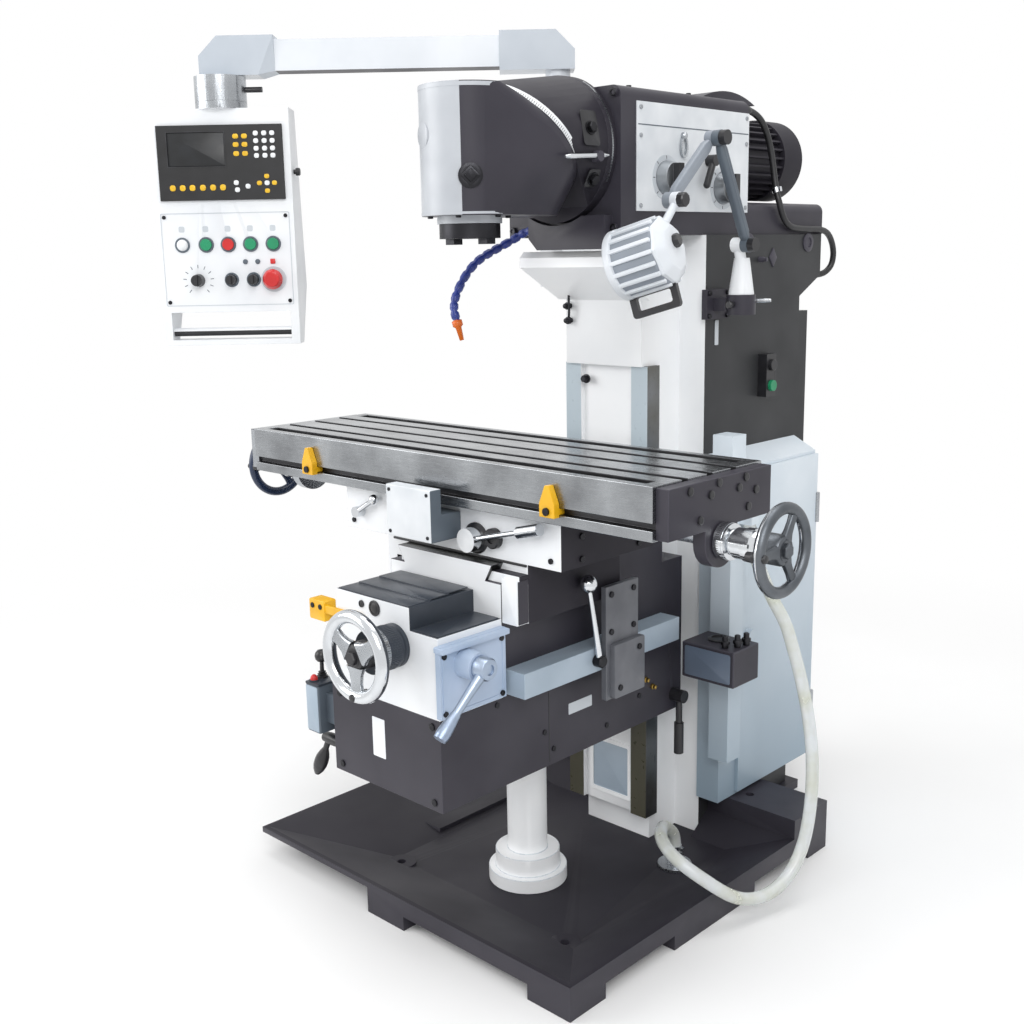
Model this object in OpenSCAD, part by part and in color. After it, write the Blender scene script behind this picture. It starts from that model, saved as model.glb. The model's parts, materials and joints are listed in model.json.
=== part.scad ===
// Knee-type milling machine with an obliquely split swivel head on a sliding ram.
// X is the operator's right, Y runs to the back, Z is up. The origin is the
// centre of the foundation bolt pattern on the floor.

/* [Base] */
// Half the width of the base body
base_half_w = 439; // [380:1:520]
// Depth of the base body, front to back
base_d = 1000; // [900:5:1200]
// Height of the tray rim above the floor
rim_z = 77; // [65:1:110]
// Height of the tray floor above the floor
tray_floor_z = 25; // [15:1:40]
// Reach of the chip tray to the left of the centre plane
tray_left_w = 615; // [520:5:700]
// Height of the raised block behind the tray
rear_block_z = 127; // [100:1:160]
// Half the distance between foundation bolts, side to side
bolt_half_x = 272; // [240:1:300]
// Foundation bolt hole radius
bolt_hole_r = 11; // [8:0.5:14]

/* [Column] */
// Half the width of the column
column_half_w = 178; // [150:1:210]
// Depth of the column body
column_d = 425; // [360:5:520]
// Height of the column top above the floor
column_top_z = 1547; // [1400:1:1700]
// Front face of the slideways, from the base front
way_front_y = 648; // [600:1:700]
// Half the width over the slideways
way_half_w = 127; // [110:1:140]
// Thickness of the slideway flanges
way_t = 47; // [35:1:60]
// Half the width of the neck behind the slideways
neck_half_w = 102; // [80:1:106]
// Depth of the neck behind the slideways
neck_d = 110; // [80:1:150]

/* [Knee] */
// Half the width of the knee
knee_half_w = 174; // [160:1:200]
// Height of the knee's underside at rest
knee_bottom_z = 397; // [380:1:430]
// Height of the knee from underside to cross slide
knee_h = 483; // [440:1:520]
// Front face of the feed gearbox, from the base front
knee_front_y = -85; // [-110:1:-60]
// Height of the feed gearbox
gearbox_h = 222; // [190:1:235]
// Length of the feed gearbox, front to back
gearbox_d = 182; // [150:1:195]
// Radius of the elevating column
pedestal_r = 48; // [40:1:55]
// Radius of the elevating screw
screw_r = 22; // [16:1:28]

/* [Saddle and table] */
// Half the width of the saddle
saddle_half_w = 365; // [300:1:400]
// Front face of the saddle, from the base front
saddle_front_y = 130; // [120:1:145]
// Depth of the saddle
saddle_d = 300; // [260:1:320]
// Height of the saddle
saddle_h = 104; // [95:1:125]
// Length of the table
table_l = 1250; // [1000:5:1400]
// Width of the table
table_w = 360; // [330:1:380]
// Thickness of the table
table_t = 105; // [90:1:120]
// Table centre, to the left of the centre plane
table_shift = 63; // [0:1:100]
// Width of a table T-slot
slot_w = 18; // [12:1:22]
// Distance between T-slots
slot_pitch = 80; // [63:1:100]
// Radius of the handwheels
handwheel_r = 97; // [80:1:110]

/* [Ram and head] */
// Half the width of the ram
ram_half_w = 168; // [150:1:200]
// Height of the ram
ram_h = 315; // [290:1:340]
// Front face of the ram, from the base front
ram_front_y = 498; // [470:1:520]
// Length of the ram's tall body
ram_l = 490; // [450:1:560]
// Length of the low tail behind the ram
ram_tail_l = 362; // [300:1:400]
// Height of the head's axis above the ram's underside
head_axis_rise = 188; // [175:1:200]
// Radius of the head's oblique joint face
head_r = 154; // [130:1:165]
// Distance from the ram's front to the oblique joint centre
joint_reach = 160; // [150:1:175]
// Distance from the ram's front to the spindle axis
spindle_reach = 295; // [285:1:310]
// Radius of the spindle head's round front
head_front_r = 100; // [85:1:110]
// Radius of the spindle nose, a steep-taper size 50 nose
nose_r = 64.3; // [44:0.1:70]
// Radius of the drive motor over its fins
motor_r = 100; // [80:1:106]
// Length of the drive motor
motor_l = 385; // [300:5:420]

/* [Control pendant and lamp] */
// Turn of the pendant arm at rest, in degrees
arm_turn = 44; // [0:1:60]
// Length of the pendant arm between its two vertical axes
arm_l = 872; // [800:1:1000]
// Height of the pendant's underside above the table top
pendant_rise = 194; // [140:1:260]
// Width of the pendant box
pendant_w = 359; // [330:1:400]
// Height of the pendant box
pendant_h = 600; // [560:1:640]
// Greatest depth of the pendant box
pendant_d = 150; // [120:1:180]
// Radius of the lamp head
lamp_r = 72; // [55:1:80]

/* [Hidden] */
$fn = 48;
// Overrun of every cut
over = 1;
// Seat clearance between separate pieces
gap = 0.3;
// Clearance of sliding ways
way_gap = 0.3;
// Radial clearance of a running fit
run = 0.05;
// Loft facets
loft_fn = 48;

// Base details
foot_h = 35;
under_z = 10;
base_skin = 6;
arch_d = 95;
left_arch_d = 28;
arch_front_d = 70;
wall_hole_x = [-330, -260];
wall_hole_z = 102;
wall_hole_r = 14;
wall_hole_d = 60;
tray_t = 14;
rim_land = 12;
front_slope_d = 190;
right_slope_w = 155;
left_slope_w = 310;
rear_slope_d = 73;
rear_block_d = 155;
notch_d = 140;
body_front_left = 194;
foot_w = 118;
front_foot_d = 112;
left_front_foot_w = 127;
mid_foot_y = 350;
mid_foot_d = 319;
rear_foot_d = 88;
tail_half_w = 200;
tail_d = 262;
tail_foot_d = 140;
bolt_front_y = 174;
bolt_back_y = 900;
boss_r = 36;
boss_z = 32;
rear_block_y = base_d - rear_block_d;
floor_rear_y = rear_block_y - rear_slope_d;
floor_left_x = left_slope_w - tray_left_w;
floor_right_x = base_half_w - right_slope_w;
mid_bolt_y = (bolt_front_y + bolt_back_y) / 2;
drain_inset = 47;
drain_at = [floor_right_x - drain_inset, 623, tray_floor_z];
drain_r = 42;
drain_t = 8;
drain_stub_r = 19;
drain_stub_h = 40;
hose_r = 15;

// Column details
neck_front_y = way_front_y + way_t;
column_front_y = neck_front_y + neck_d;
column_rear_y = column_front_y + column_d;
way_bottom_z = 103;
way_top_z = 1247;
way_w = 49;
way_recess = 12;
head_block_half_w = 116;
head_block_proud = 10;
front_top_drop = 32;
front_top_z = column_top_z - front_top_drop;
corbel_half_w = 140;
corbel_l = 138;
corbel_nose_h = 36;
corbel_drop = 115;
corbel_nose_r = 14;
rear_overhang = 101;
overhang_h = 106;
slant_h = 52;
rail_half_w = 92;
rail_flare = 18;
rail_h = 36;
cover_bottom_z = 300;
cover_top_z = 1350;
cover_t = 52;
cover_margin = 6;

// Cabinet details
cabinet_front_inset = 10;
cabinet_w = 66;
cabinet_lift = 3;
cabinet_bottom_z = rear_block_z + cabinet_lift;
cabinet_top_z = 1022;
cabinet_slope = 34;
cabinet_l = 427;
cabinet_strip = 74;
cabinet_wall = 8;
door_proud = 10;
latch_inset = 30;
latch_r = 14;
latch_l = 26;
hinge_shares = [0.12, 0.78];
hinge_h = 80;
hinge_r = 7;
duct_size = 56;
duct_forward = 46;
duct_bottom_z = 270;
duct_top_z = 1085;
duct_foot_h = 60;
duct_foot_t = 14;
duct_foot_d = 44;
duct_wall = 6;
nipple_h = 34;
cabinet_y = column_front_y - cabinet_front_inset;
cabinet_x = column_half_w + cabinet_w;
door_y = [cabinet_y + cabinet_strip, cabinet_y + cabinet_l];
door_z = [cabinet_bottom_z + cabinet_wall, cabinet_top_z - cabinet_slope - cabinet_wall];
duct_x = [cabinet_x, cabinet_x + duct_size];
duct_y = [cabinet_y - duct_forward, cabinet_y - duct_forward + duct_size];

// Column switch
switch_at = [column_half_w, 1061, 1197];
switch_size = [26, 44, 108];
button_r = 14;
button_proud = 9;
button_rise = 26;
button_in = 14;
switch_depth = 22;

// Knee details
knee_top_z = knee_bottom_z + knee_h;
knee_rear_y = way_front_y - way_gap;
gearbox_rise = 200;
gearbox_z = knee_bottom_z + gearbox_rise;
gearbox_rear_y = knee_front_y + gearbox_d;
gearbox_left_x = -142;
gearbox_step_x = 92;
gearbox_step_h = 48;
cross_rail_half_w = 128;
cross_rail_flare = 20;
cross_rail_h = 36;
ear_top_drop = 60;
keeper_t = 32;
keeper_clear = 2;
screw_y = 346;
knee_bore_clear = 3;
bore_roof = 70;
flange_r = 95;
flange_h = 34;
collar_r = 78;
collar_h = 78;
pedestal_top_z = 560;
nut_h = 90;
nut_clear = 4;
screw_seat = 34;
screw_bottom_z = 330;

// Gearbox side plate, crank and rails on the knee's right
plate_t = 14;
plate_margin = 8;
plate_h = 152;
boss_len = 44;
plate_boss_r = 30;
crank_y = -27;
crank_rise = 114;
crank_z = gearbox_z + crank_rise;
crank_hub_r = 24;
crank_hub_l = 30;
crank_arm = 168;
crank_arm_r = 9;
crank_tip_r = 12;
crank_tip_l = 60;
crank_lean = 49;
crank_pin_r = 10;
crank_pin_l = 20;
rail_size = 56;
rail_l = 538;
trip_rail_rise = 206;
rail_bottom_z = knee_bottom_z + trip_rail_rise;
rail_front_gap = 7;
trip_bracket_start = 248;
bracket_l = 114;
bracket_t = 14;
bracket_up = 136;
bracket_down = 70;
trip_lever_y = 334;
trip_r = 14;
trip_l = 22;
trip_arm = 176;
trip_lean = 18;
trip_rod_r = 7;
trip_ball_r = 17;
oil_box_size = [146, 106, 88];
oil_box_x = 238;
oil_box_z = 513;
clamp_back = 46;
clamp_rise = 40;
clamp_hub_r = 16;
clamp_hub_l = 36;
clamp_arm = 150;
clamp_rod_r = 8;
clamp_grip_r = 12;
clamp_grip_l = 80;
switch_box_size = [84, 84, 116];
switch_box_y = -80;
switch_box_rise = 66;
stick_r = 5;
stick_l = 34;
stick_ball_r = 15;
stick_socket_r = 12;
pilot_r = 9;
pilot_h = 16;
pilot_share = 0.25;
stick_share = 0.35;
stick_sink = 2;
vlever_y = -38;
vlever_rise = 34;
vlever_hub_r = 14;
vlever_hub_l = 52;
vlever_arm = 96;
vlever_rod_r = 6;
vlever_grip_r = 15;
vlever_grip_l = 60;
vlever_lean = 14;
cross_x = 45;
cross_rise = 335;
cross_shaft_r = 12;
cross_shaft_in = 30;
dial_r = 46;
dial_l = 68;
cross_hub_r = 30;
wheel_rise = 36;
wheel_rim_r = 11;
wheel_spoke_r = 9;
wheel_grip_l = 74;
wheel_grip_r1 = 9;
wheel_grip_r2 = 13;
wheel_hub_l = 52;
wheel_bore_l = 40;

// Saddle details
saddle_lift = 6;
saddle_z = knee_top_z + saddle_lift;
saddle_top_z = saddle_z + saddle_h;
saddle_low_z = knee_top_z - cross_rail_h + way_gap;
saddle_rear_y = saddle_front_y + saddle_d;
table_rail_half_w = 82;
table_rail_flare = 18;
table_rail_h = 36;
saddle_right_share = 0.855;
saddle_x = [-saddle_half_w, saddle_half_w * saddle_right_share];
skirt_gap = 10;
saddle_step_half_w = knee_half_w + rail_size - skirt_gap;
skirt_t = 30;
skirt_drop = 84;
saddle_groove_r = 20;
apron_h = 22;
apron_t = 26;
trip_box_x = [-117, 25];
trip_box_t = 32;
trip_box_out = 56;
trip_box_rise = 31;
trip_box_h = 114;
trip_box_foot_h = 58;
feed_x = 72;
feed_up = 36;
feed_hub_r = 26;
feed_hub_l = 34;
feed_arm = 150;
feed_rise = 14;
feed_rod_r = 6;
feed_grip_r = 13;
feed_grip_l = 60;
clampl_x = -311;
clampl_up = 44;
clampl_hub_r = 13;
clampl_hub_l = 22;
clampl_arm = 74;
clampl_rod_r = 6;
clampl_ball_r = 12;
clampl_turn = 60;
lever_pin_r = 8;
lever_pin_l = 22;
apron_left = 145;
apron_x = [-apron_left, saddle_step_half_w];

// Table details
table_z = saddle_top_z + way_gap;
table_top_z = table_z + table_t;
table_forward = 30;
table_y = saddle_front_y - table_forward;
table_mid_y = table_y + table_w / 2;
table_x = span(-table_shift, table_l / 2);
slot_head_w = 32;
slot_head_h = 14;
slot_depth = 34;
front_slot_w = 14;
front_slot_d = 16;
front_slot_share = 0.27;
trough_w = 30;
trough_d = 14;
trough_end = 30;
trough_off = 146;
end_t = 29;
leadscrew_r = 16;
leadscrew_drop = 22;
leadscrew_z = saddle_top_z - leadscrew_drop;
leadscrew_end_r = 12;
lobe_r = 54;
bracket_top_drop = 4;
bracket_bottom_drop = 3;
bracket_side = 10;
collar_len = 98;
collar_wheel_r = 30;
dog_x_shares = [0.187, 0.803];
dog_w = 40;
dog_low = 12;
dog_shoulder = 16;
dog_high = 52;
dog_tip = 5;
dog_out = 16;

// Ram details
ram_z = column_top_z + way_gap;
ram_top_z = ram_z + ram_h;
ram_rear_y = ram_front_y + ram_l;
ram_tail_y = ram_rear_y + ram_tail_l;
ram_tail_h = 78;
ram_edge_r = 22;
lip_x = [-82, 144];
lip_t = 28;
lip_down = 29;
lip_up = 44;
lip_corner = 26;
lip_relief = 6;
groove_front = 22;
dome_half_w = 112;
dome_l = 240;
dome_rise = 26;
dome_back = 8;
dome_y = ram_front_y + ram_l - dome_back;
dome_r = (dome_l * dome_l / 4 + dome_rise * dome_rise) / (2 * dome_rise);
panel_t = 4;
panel_front = 52;
panel_rear = 2;
panel_low = 52;
panel_high = 31;
knob_y_shares = [0.24, 0.75];
knob_rises = [125, 108];
knob_taper_share = 0.86;
knob_grip_share = 0.8;
knob_r = 38;
knob_l = 26;
knob_grip_w = 18;
knob_grip_l = 18;
tee_y_share = 0.61;
tee_rise = 168;
tee_lean = -25;
tee_hub_r = 13;
tee_hub_l = 24;
tee_arm = 62;
tee_rod_r = 8;
motor_flange_r = 116;
motor_flange_t = 20;
motor_rise = 7;
fin_h = 14;
motor_core_r = motor_r - fin_h;
fin_t = 5;
fin_count = 28;
fan_l = 112;
fan_r = motor_r + 4;
fan_edge_r = 26;

// Head details
head_z = ram_z + head_axis_rise;
joint_y = ram_front_y - joint_reach;
joint_rise = 7;
joint_z = head_z + joint_rise;
spindle_y = ram_front_y - spindle_reach;
flange_ring_r = head_r + 4;
flange_ring_t = 28;
spigot_r = 90;
spigot_l = 26;
joint_spigot_r = 80;
joint_spigot_l = 20;
joint_disc_t = 14;
head_drop = 144;
head_up = 115;
head_bottom_z = head_z - head_drop;
heel_back = 18;
heel_r = 105;
heel_h = 58;
nose_ring_r = nose_r + 4;
nose_ring_h = 16;
nose_h = 30;
quill_r = 44;
quill_up = 92;
quill_top_z = head_z + quill_up;
taper_mouth_share = 0.543;
taper_end_share = 0.36;
taper_l_share = 1.62;
key_w = 25;
key_h = 12;
key_l = 26;
key_inset = 2;
drawbar_r = 13;
rim_relief = 24;
rim_slope_share = 2.2;
half_space = 600;

// Coolant pipe: hand-chosen route from the ram's lip to the nozzle
pipe_r = 7;
pipe_bead_r = 10;
pipe_route = [[-82, 484, 1562], [-100, 484, 1562], [-118, 479, 1553], [-134, 466, 1541],
    [-147, 446, 1529], [-155, 424, 1518], [-161, 402, 1507], [-167, 381, 1493], [-172, 362, 1474],
    [-176, 345, 1452], [-178, 330, 1428], [-177, 319, 1406], [-173, 314, 1386], [-168, 316, 1366]];
pipe_sides = 10;
hose_up = [1, 1, 1];
cable_up = [1, 0, 0];
pipe_up = [1, -1, 0];
pipe_steps = 4;
nozzle_steps = [0, 2, 14, 18, 48];
nozzle_radii = [7, 12, 12, 7, 5];

// Coolant hose: hand-chosen route from the duct to the tray drain
hose_route = [[322, 794, 872], [322, 794, 838], [334, 798, 796], [354, 804, 750], [378, 809, 698],
    [412, 816, 640], [436, 815, 582], [458, 813, 522], [478, 809, 460], [496, 802, 396],
    [510, 792, 332], [520, 778, 268], [526, 760, 206], [528, 738, 150], [526, 708, 104],
    [520, 672, 72], [511, 632, 54], [500, 592, 50], [488, 552, 58], [474, 516, 76],
    [457, 486, 100], [436, 462, 124], [410, 446, 144], [380, 440, 160], [348, 446, 172],
    [318, 464, 178], [292, 492, 178], [272, 524, 172], [256, 558, 158], [246, 588, 136],
    [239, 614, 112], [drain_at[0], drain_at[1], 86],
    [drain_at[0], drain_at[1], tray_floor_z + drain_stub_h]];
hose_sides = 10;

// Motor cable: hand-chosen route from the motor's cable box into the column
cable_r = 8;
cable_sides = 8;
cable_route = [[150, 988, 1842], [150, 1016, 1842], [150, 1044, 1836], [151, 1070, 1822],
    [152, 1090, 1800], [154, 1104, 1772], [157, 1112, 1742], [160, 1116, 1712], [164, 1118, 1682],
    [170, 1118, 1652], [178, 1120, 1624], [182, 1128, 1598], [182, 1146, 1578], [182, 1172, 1566],
    [182, 1202, 1562], [182, 1232, 1561], [182, 1262, 1560], [182, 1292, 1560], [182, 1322, 1558],
    [180, 1352, 1552], [176, 1380, 1538], [172, 1402, 1516], [168, 1414, 1490], [163, 1412, 1464],
    [155, 1394, 1446], [148, 1364, 1440], [148, 1331.3, 1440]];

// Pendant and arm details
post_at = [-315, 840];
post_r = 32;
post_foot_z = 1424;
post_bracket_h = 120;
post_bracket_t = 34;
post_bracket_r = 52;
elbow_w = 84;
elbow_h = 96;
elbow_l = 150;
elbow_cut = 48;
beam_w = 64;
beam_h = 76;
swivel_r = 66;
swivel_h = 62;
swivel_stub_r = 26;
swivel_stub_l = 44;
swivel_lever_l = 96;
swivel_lever_r = 7;
post_collar_r = 46;
post_collar_h = 30;
post_seat = 14;
swivel_collar_h = 18;
pendant_bottom_z = table_top_z + pendant_rise;
pendant_top_z = pendant_bottom_z + pendant_h;
arm_z = pendant_top_z + swivel_collar_h + swivel_h + elbow_h / 2;
pendant_top_d = 92;
pendant_axis_y = 46;
bottom_d = 60;
bulge_share = 0.25;
handle_bar_y = 24;
face_grip_w = 7;
face_grip_l = 7;
stop_taper_share = 0.7;
screen_share = -0.19;
screen_drop = 18;
handle_bar_r = 11;
handle_bar_rise = 20;
dro_size = [324, 8, 187];
dro_drop = 41;
screen_size = [146, 3, 84];
button_row_drop = 340;
knob_row_drop = 431;
push_x_shares = [-0.147, 0.014, 0.176, 0.341];
push_r = 15;
dial_x_share = -0.22;
selector_x_shares = [0.022, 0.183];
stop_x_share = 0.33;
feed_dial_r = 17;
feed_dial_l = 26;
selector_r = 14;
selector_l = 22;
stop_r = 27;
stop_l = 18;
stop_stem_r = 13;
stop_stem_l = 16;

// Lamp details
lamp_x = 258;
lamp_y = 835;
lamp_base_z = 1362;
lamp_cup_r = 34;
lamp_cup_h = 46;
lamp_cup_floor = 14;
lamp_plate_t = 16;
lamp_plate_half = [45, 35];
lamp_bar_half = [20, 15];
lamp_stem_r = 15;
lamp_swivel_r = [30, 18];
lamp_swivel_h = 84;
lamp_lug_half = 13;
lamp_lug_r = 17;
lamp_eye_w = 18;
lamp_pin_r = 6;
lamp_pin_l = 14;
lamp_knob_r = 16;
lamp_knob_l = 16;
lamp_pivot = [820, 1522];
lamp_elbow = [700, 1753];
lamp_neck = [548, 1618];
lamp_centre = [447, 1500];
lamp_tube_r = 9;
lamp_turn = 44;
lamp_tilt = 16;
lamp_body_half = 52;
lamp_back_l = 60;
lamp_back_r = [58, 28];
lamp_bezel_t = 10;
lamp_bezel_r = 5;
lamp_lens_r = 8;
lamp_rib_count = 20;
lamp_rib_t = 5;
lamp_rib_h = 5;
lamp_rib_in = 4;
lamp_handle_half = 58;
lamp_handle_h = 46;
lamp_handle_t = 13;
lamp_handle_x = 44;
lamp_stay_r = 8;
lamp_arm_x = lamp_x + lamp_lug_half + gap;

// Small parts of the ram and the saddle
corner_bolt_r = 9;
corner_bolt_h = 7;
corner_bolt_inset = 16;
knob_pin_r = 8;
face_pin_r = 5;
face_pin_l = 12;
push_proud = 8;
push_depth = 12;
button_well = 24;
handle_half_w = 157;
handle_low = 14;
handle_gap = 72;

function span(mid, half) = [mid - half, mid + half];

module placed() translate([0, -mid_bolt_y, 0]) children();

module block(x, y, z)
    translate([x[0], y[0], z[0]]) cube([x[1] - x[0], y[1] - y[0], z[1] - z[0]]);

module rod_x(at, l, r, r2)
    translate(at) rotate([0, 90, 0]) cylinder(h = l, r1 = r, r2 = is_undef(r2) ? r : r2);

module rod_y(at, l, r, r2)
    translate(at) rotate([-90, 0, 0]) cylinder(h = l, r1 = r, r2 = is_undef(r2) ? r : r2);

module rod_z(at, l, r, r2)
    translate(at) cylinder(h = l, r1 = r, r2 = is_undef(r2) ? r : r2);

// A rod between two points
module strut(a, b, r) {
    v = b - a;
    l = norm(v);
    translate(a)
        rotate([0, acos(v[2] / l), atan2(v[1], v[0])])
            cylinder(h = l, r = r);
}

// An outline in Y and Z carried along X
module side_slab(x, points)
    translate([x[0], 0, 0]) rotate([90, 0, 90]) linear_extrude(x[1] - x[0]) polygon(points);

// An outline in X and Z carried along Y
module front_slab(y, points)
    translate([0, y[1], 0]) rotate([90, 0, 0]) linear_extrude(y[1] - y[0]) polygon(points);

// A rectangle with two rounded upper corners
module arch_outline(half, h, r) {
    translate([-half, 0]) square([2 * half, h - r]);
    translate([r - half, 0]) square([2 * (half - r), h]);
    for (s = [-1, 1]) translate([s * (half - r), h - r]) circle(r);
}

// A rectangle with four rounded corners
module pad_outline(w, h, r) {
    translate([-w / 2 + r, -h / 2]) square([w - 2 * r, h]);
    translate([-w / 2, -h / 2 + r]) square([w, h - 2 * r]);
    for (s = [-1, 1], t = [-1, 1]) translate([s * (w / 2 - r), t * (h / 2 - r)]) circle(r);
}

function dovetail(half, flare, h, z, c) = [[-half - c, z - c], [half + c, z - c],
    [half + flare + c, z + h + c], [-half - flare - c, z + h + c]];

// Rings of points swept along a route
function heading(path, i) = let(a = path[max(i - 1, 0)], b = path[min(i + 1, len(path) - 1)])
    (b - a) / norm(b - a);
function unit(v) = v / norm(v);
function ring_at(path, i, r, n, up) = let(t = heading(path, i), u = unit(cross(t, up)), w = cross(u, t))
    [for (k = [0 : n - 1]) path[i] + r[i] * (cos(360 * k / n) * u + sin(360 * k / n) * w)];
module sweep(path, radii, n, up) {
    m = len(path);
    points = [for (i = [0 : m - 1]) each ring_at(path, i, radii, n, up)];
    sides = [for (i = [0 : m - 2], k = [0 : n - 1])
        [i * n + k, i * n + (k + 1) % n, (i + 1) * n + (k + 1) % n, (i + 1) * n + k]];
    ends = [[for (k = [n - 1 : -1 : 0]) k], [for (k = [0 : n - 1]) (m - 1) * n + k]];
    polyhedron(points, concat(sides, ends), convexity = 8);
}

// A handwheel on its axis, facing away from Z zero
module handwheel(hub_r, hub_l, bore_r) {
    difference() {
        union() {
            translate([0, 0, wheel_rise]) rotate_extrude() translate([handwheel_r - wheel_rim_r, 0])
                circle(wheel_rim_r);
            for (a = [0 : 120 : 240]) rotate([0, 0, a + 30]) translate([0, 0, wheel_rise])
                rotate([0, 90, 0]) cylinder(h = handwheel_r - wheel_rim_r, r = wheel_spoke_r);
            cylinder(h = hub_l, r = hub_r);
            translate([0, handwheel_r - wheel_rim_r, wheel_rise])
                cylinder(h = wheel_grip_l, r1 = wheel_grip_r1, r2 = wheel_grip_r2);
        }
        if (bore_r > 0) translate([0, 0, -over]) cylinder(h = wheel_bore_l + over, r = bore_r);
    }
}

module base_shell() {
    intersection() {
        front_slab([0, rear_block_y], [[-tray_left_w, rim_z], [-tray_left_w, rim_z - tray_t],
            [-base_half_w, tray_floor_z - base_skin], [0, tray_floor_z - base_skin], [0, rim_z]]);
        side_slab([-tray_left_w, 0], [[0, rim_z], [0, rim_z - tray_t], [notch_d, tray_floor_z - base_skin],
            [rear_block_y, tray_floor_z - base_skin], [rear_block_y, rim_z]]);
    }
    block([-base_half_w, base_half_w], [notch_d, base_d], [under_z, rim_z]);
    block([-body_front_left, base_half_w], [0, notch_d], [under_z, rim_z]);
    for (s = [-1, 1]) scale([s, 1, 1])
        block([column_half_w + gap, base_half_w], [rear_block_y, base_d], [under_z, rear_block_z]);
    block([-tail_half_w, tail_half_w], [base_d - over, base_d + tail_d], [under_z, tray_floor_z]);
    block([-tail_half_w, tail_half_w], [base_d + tail_d - tail_foot_d, base_d + tail_d], [0, tray_floor_z]);
}

module basin() {
    intersection() {
        front_slab([0, base_d], [[rim_land - tray_left_w, rim_z + over], [rim_land - tray_left_w, rim_z],
            [floor_left_x, tray_floor_z], [floor_right_x, tray_floor_z],
            [base_half_w - rim_land, rim_z], [base_half_w - rim_land, rim_z + over]]);
        side_slab([-tray_left_w, base_half_w], [[rim_land, rim_z + over], [rim_land, rim_z],
            [front_slope_d, tray_floor_z], [floor_rear_y, tray_floor_z],
            [rear_block_y, rim_z], [rear_block_y, rim_z + over]]);
    }
}

module base() color("dimgray") placed() {
    difference() {
        union() {
            difference() {
                base_shell();
                basin();
            }
            for (s = [-1, 1]) {
                rod_z([s * bolt_half_x, bolt_front_y, 0], boss_z, boss_r);
                rod_z([s * bolt_half_x, bolt_back_y, 0], under_z + over, boss_r);
            }
            for (s = [-1, 1]) scale([s, 1, 1]) {
                block([base_half_w - foot_w, base_half_w], [mid_foot_y, mid_foot_y + mid_foot_d], [0, rim_z / 2]);
                block([base_half_w - foot_w, base_half_w], [base_d - rear_foot_d, base_d], [0, rim_z / 2]);
            }
            block([base_half_w - foot_w, base_half_w], [0, front_foot_d], [0, foot_h]);
            block([-body_front_left, left_front_foot_w - body_front_left], [0, front_foot_d], [0, foot_h]);
        }
        block(span(0, column_half_w + gap), [floor_rear_y, base_d + tail_d + over],
            [tray_floor_z, rear_block_z + over]);
        for (s = [-1, 1]) {
            reach = s * (base_half_w + over);
            depth = s * (base_half_w - (s > 0 ? arch_d : left_arch_d));
            side = [min(reach, depth), max(reach, depth)];
            block(side, [front_foot_d, mid_foot_y], [-over, foot_h]);
            block(side, [mid_foot_y + mid_foot_d, base_d - rear_foot_d], [-over, foot_h]);
            for (y = [bolt_front_y, bolt_back_y])
                rod_z([s * bolt_half_x, y, -over], rear_block_z + 2 * over, bolt_hole_r);
        }
        block([left_front_foot_w - body_front_left, base_half_w - foot_w], [-over, arch_front_d],
            [-over, foot_h]);
        for (x = wall_hole_x) rod_y([x, rear_block_y - over, wall_hole_z], wall_hole_d, wall_hole_r);
    }
}

module column() color("gray") placed() {
    half = column_half_w;
    difference() {
        union() {
            block([-half, half], [column_front_y, column_rear_y], [tray_floor_z, column_top_z]);
            block([-neck_half_w, neck_half_w], [neck_front_y - over, column_front_y + over],
                [tray_floor_z, front_top_z]);
            block([-way_half_w, way_half_w], [way_front_y, neck_front_y], [way_bottom_z, way_top_z]);
            block([-head_block_half_w, head_block_half_w],
                [way_front_y - head_block_proud, neck_front_y + over], [way_top_z - over, front_top_z]);
            corbel();
            side_slab([-half, half], [[column_rear_y - over, column_top_z - overhang_h - slant_h],
                [column_rear_y, column_top_z - overhang_h - slant_h],
                [column_rear_y + rear_overhang, column_top_z - overhang_h],
                [column_rear_y + rear_overhang, column_top_z], [column_rear_y - over, column_top_z]]);
            block(span(0, half - cover_margin), [column_rear_y - over, column_rear_y + cover_t],
                [cover_bottom_z, cover_top_z]);
            front_slab([column_front_y, column_rear_y + rear_overhang],
                dovetail(rail_half_w, rail_flare, rail_h, column_top_z, 0));
        }
        block(span(0, way_half_w - way_w), [way_front_y - over, way_front_y + way_recess],
            [way_bottom_z - over, way_top_z]);
    }
}

module corbel() {
    front = way_front_y - head_block_proud - corbel_l;
    back = way_front_y - head_block_proud;
    side_slab(span(0, corbel_half_w), [[back + over, front_top_z], [front + corbel_nose_r, front_top_z],
        [front, front_top_z - corbel_nose_r], [front, front_top_z - corbel_nose_h],
        [back, front_top_z - corbel_drop], [back + over, front_top_z - corbel_drop]]);
}

module elevating_pedestal() color("dimgray") placed() difference() {
    union() {
        rod_z([0, screw_y, tray_floor_z], flange_h, flange_r);
        rod_z([0, screw_y, tray_floor_z], collar_h, collar_r);
        rod_z([0, screw_y, tray_floor_z], pedestal_top_z - tray_floor_z, pedestal_r);
    }
    rod_z([0, screw_y, tray_floor_z + flange_h], pedestal_top_z, screw_r + gap);
    rod_z([0, screw_y, tray_floor_z + flange_h], pedestal_top_z - nut_h - tray_floor_z - flange_h,
        screw_r + nut_clear);
}

module cabinet_outline(inset) {
    side = [column_half_w + inset, cabinet_x - inset];
    front_slab([cabinet_y + inset, cabinet_y + cabinet_l - inset], [[side[0], cabinet_bottom_z + inset],
        [side[1], cabinet_bottom_z + inset], [side[1], cabinet_top_z - cabinet_slope - inset],
        [side[0], cabinet_top_z - inset]]);
}

module electrical_cabinet() color("lightsteelblue") placed() difference() {
    cabinet_outline(0);
    cabinet_outline(cabinet_wall);
    block([cabinet_x - cabinet_wall - over, cabinet_x + over], door_y + [0, over], door_z);
}

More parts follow.
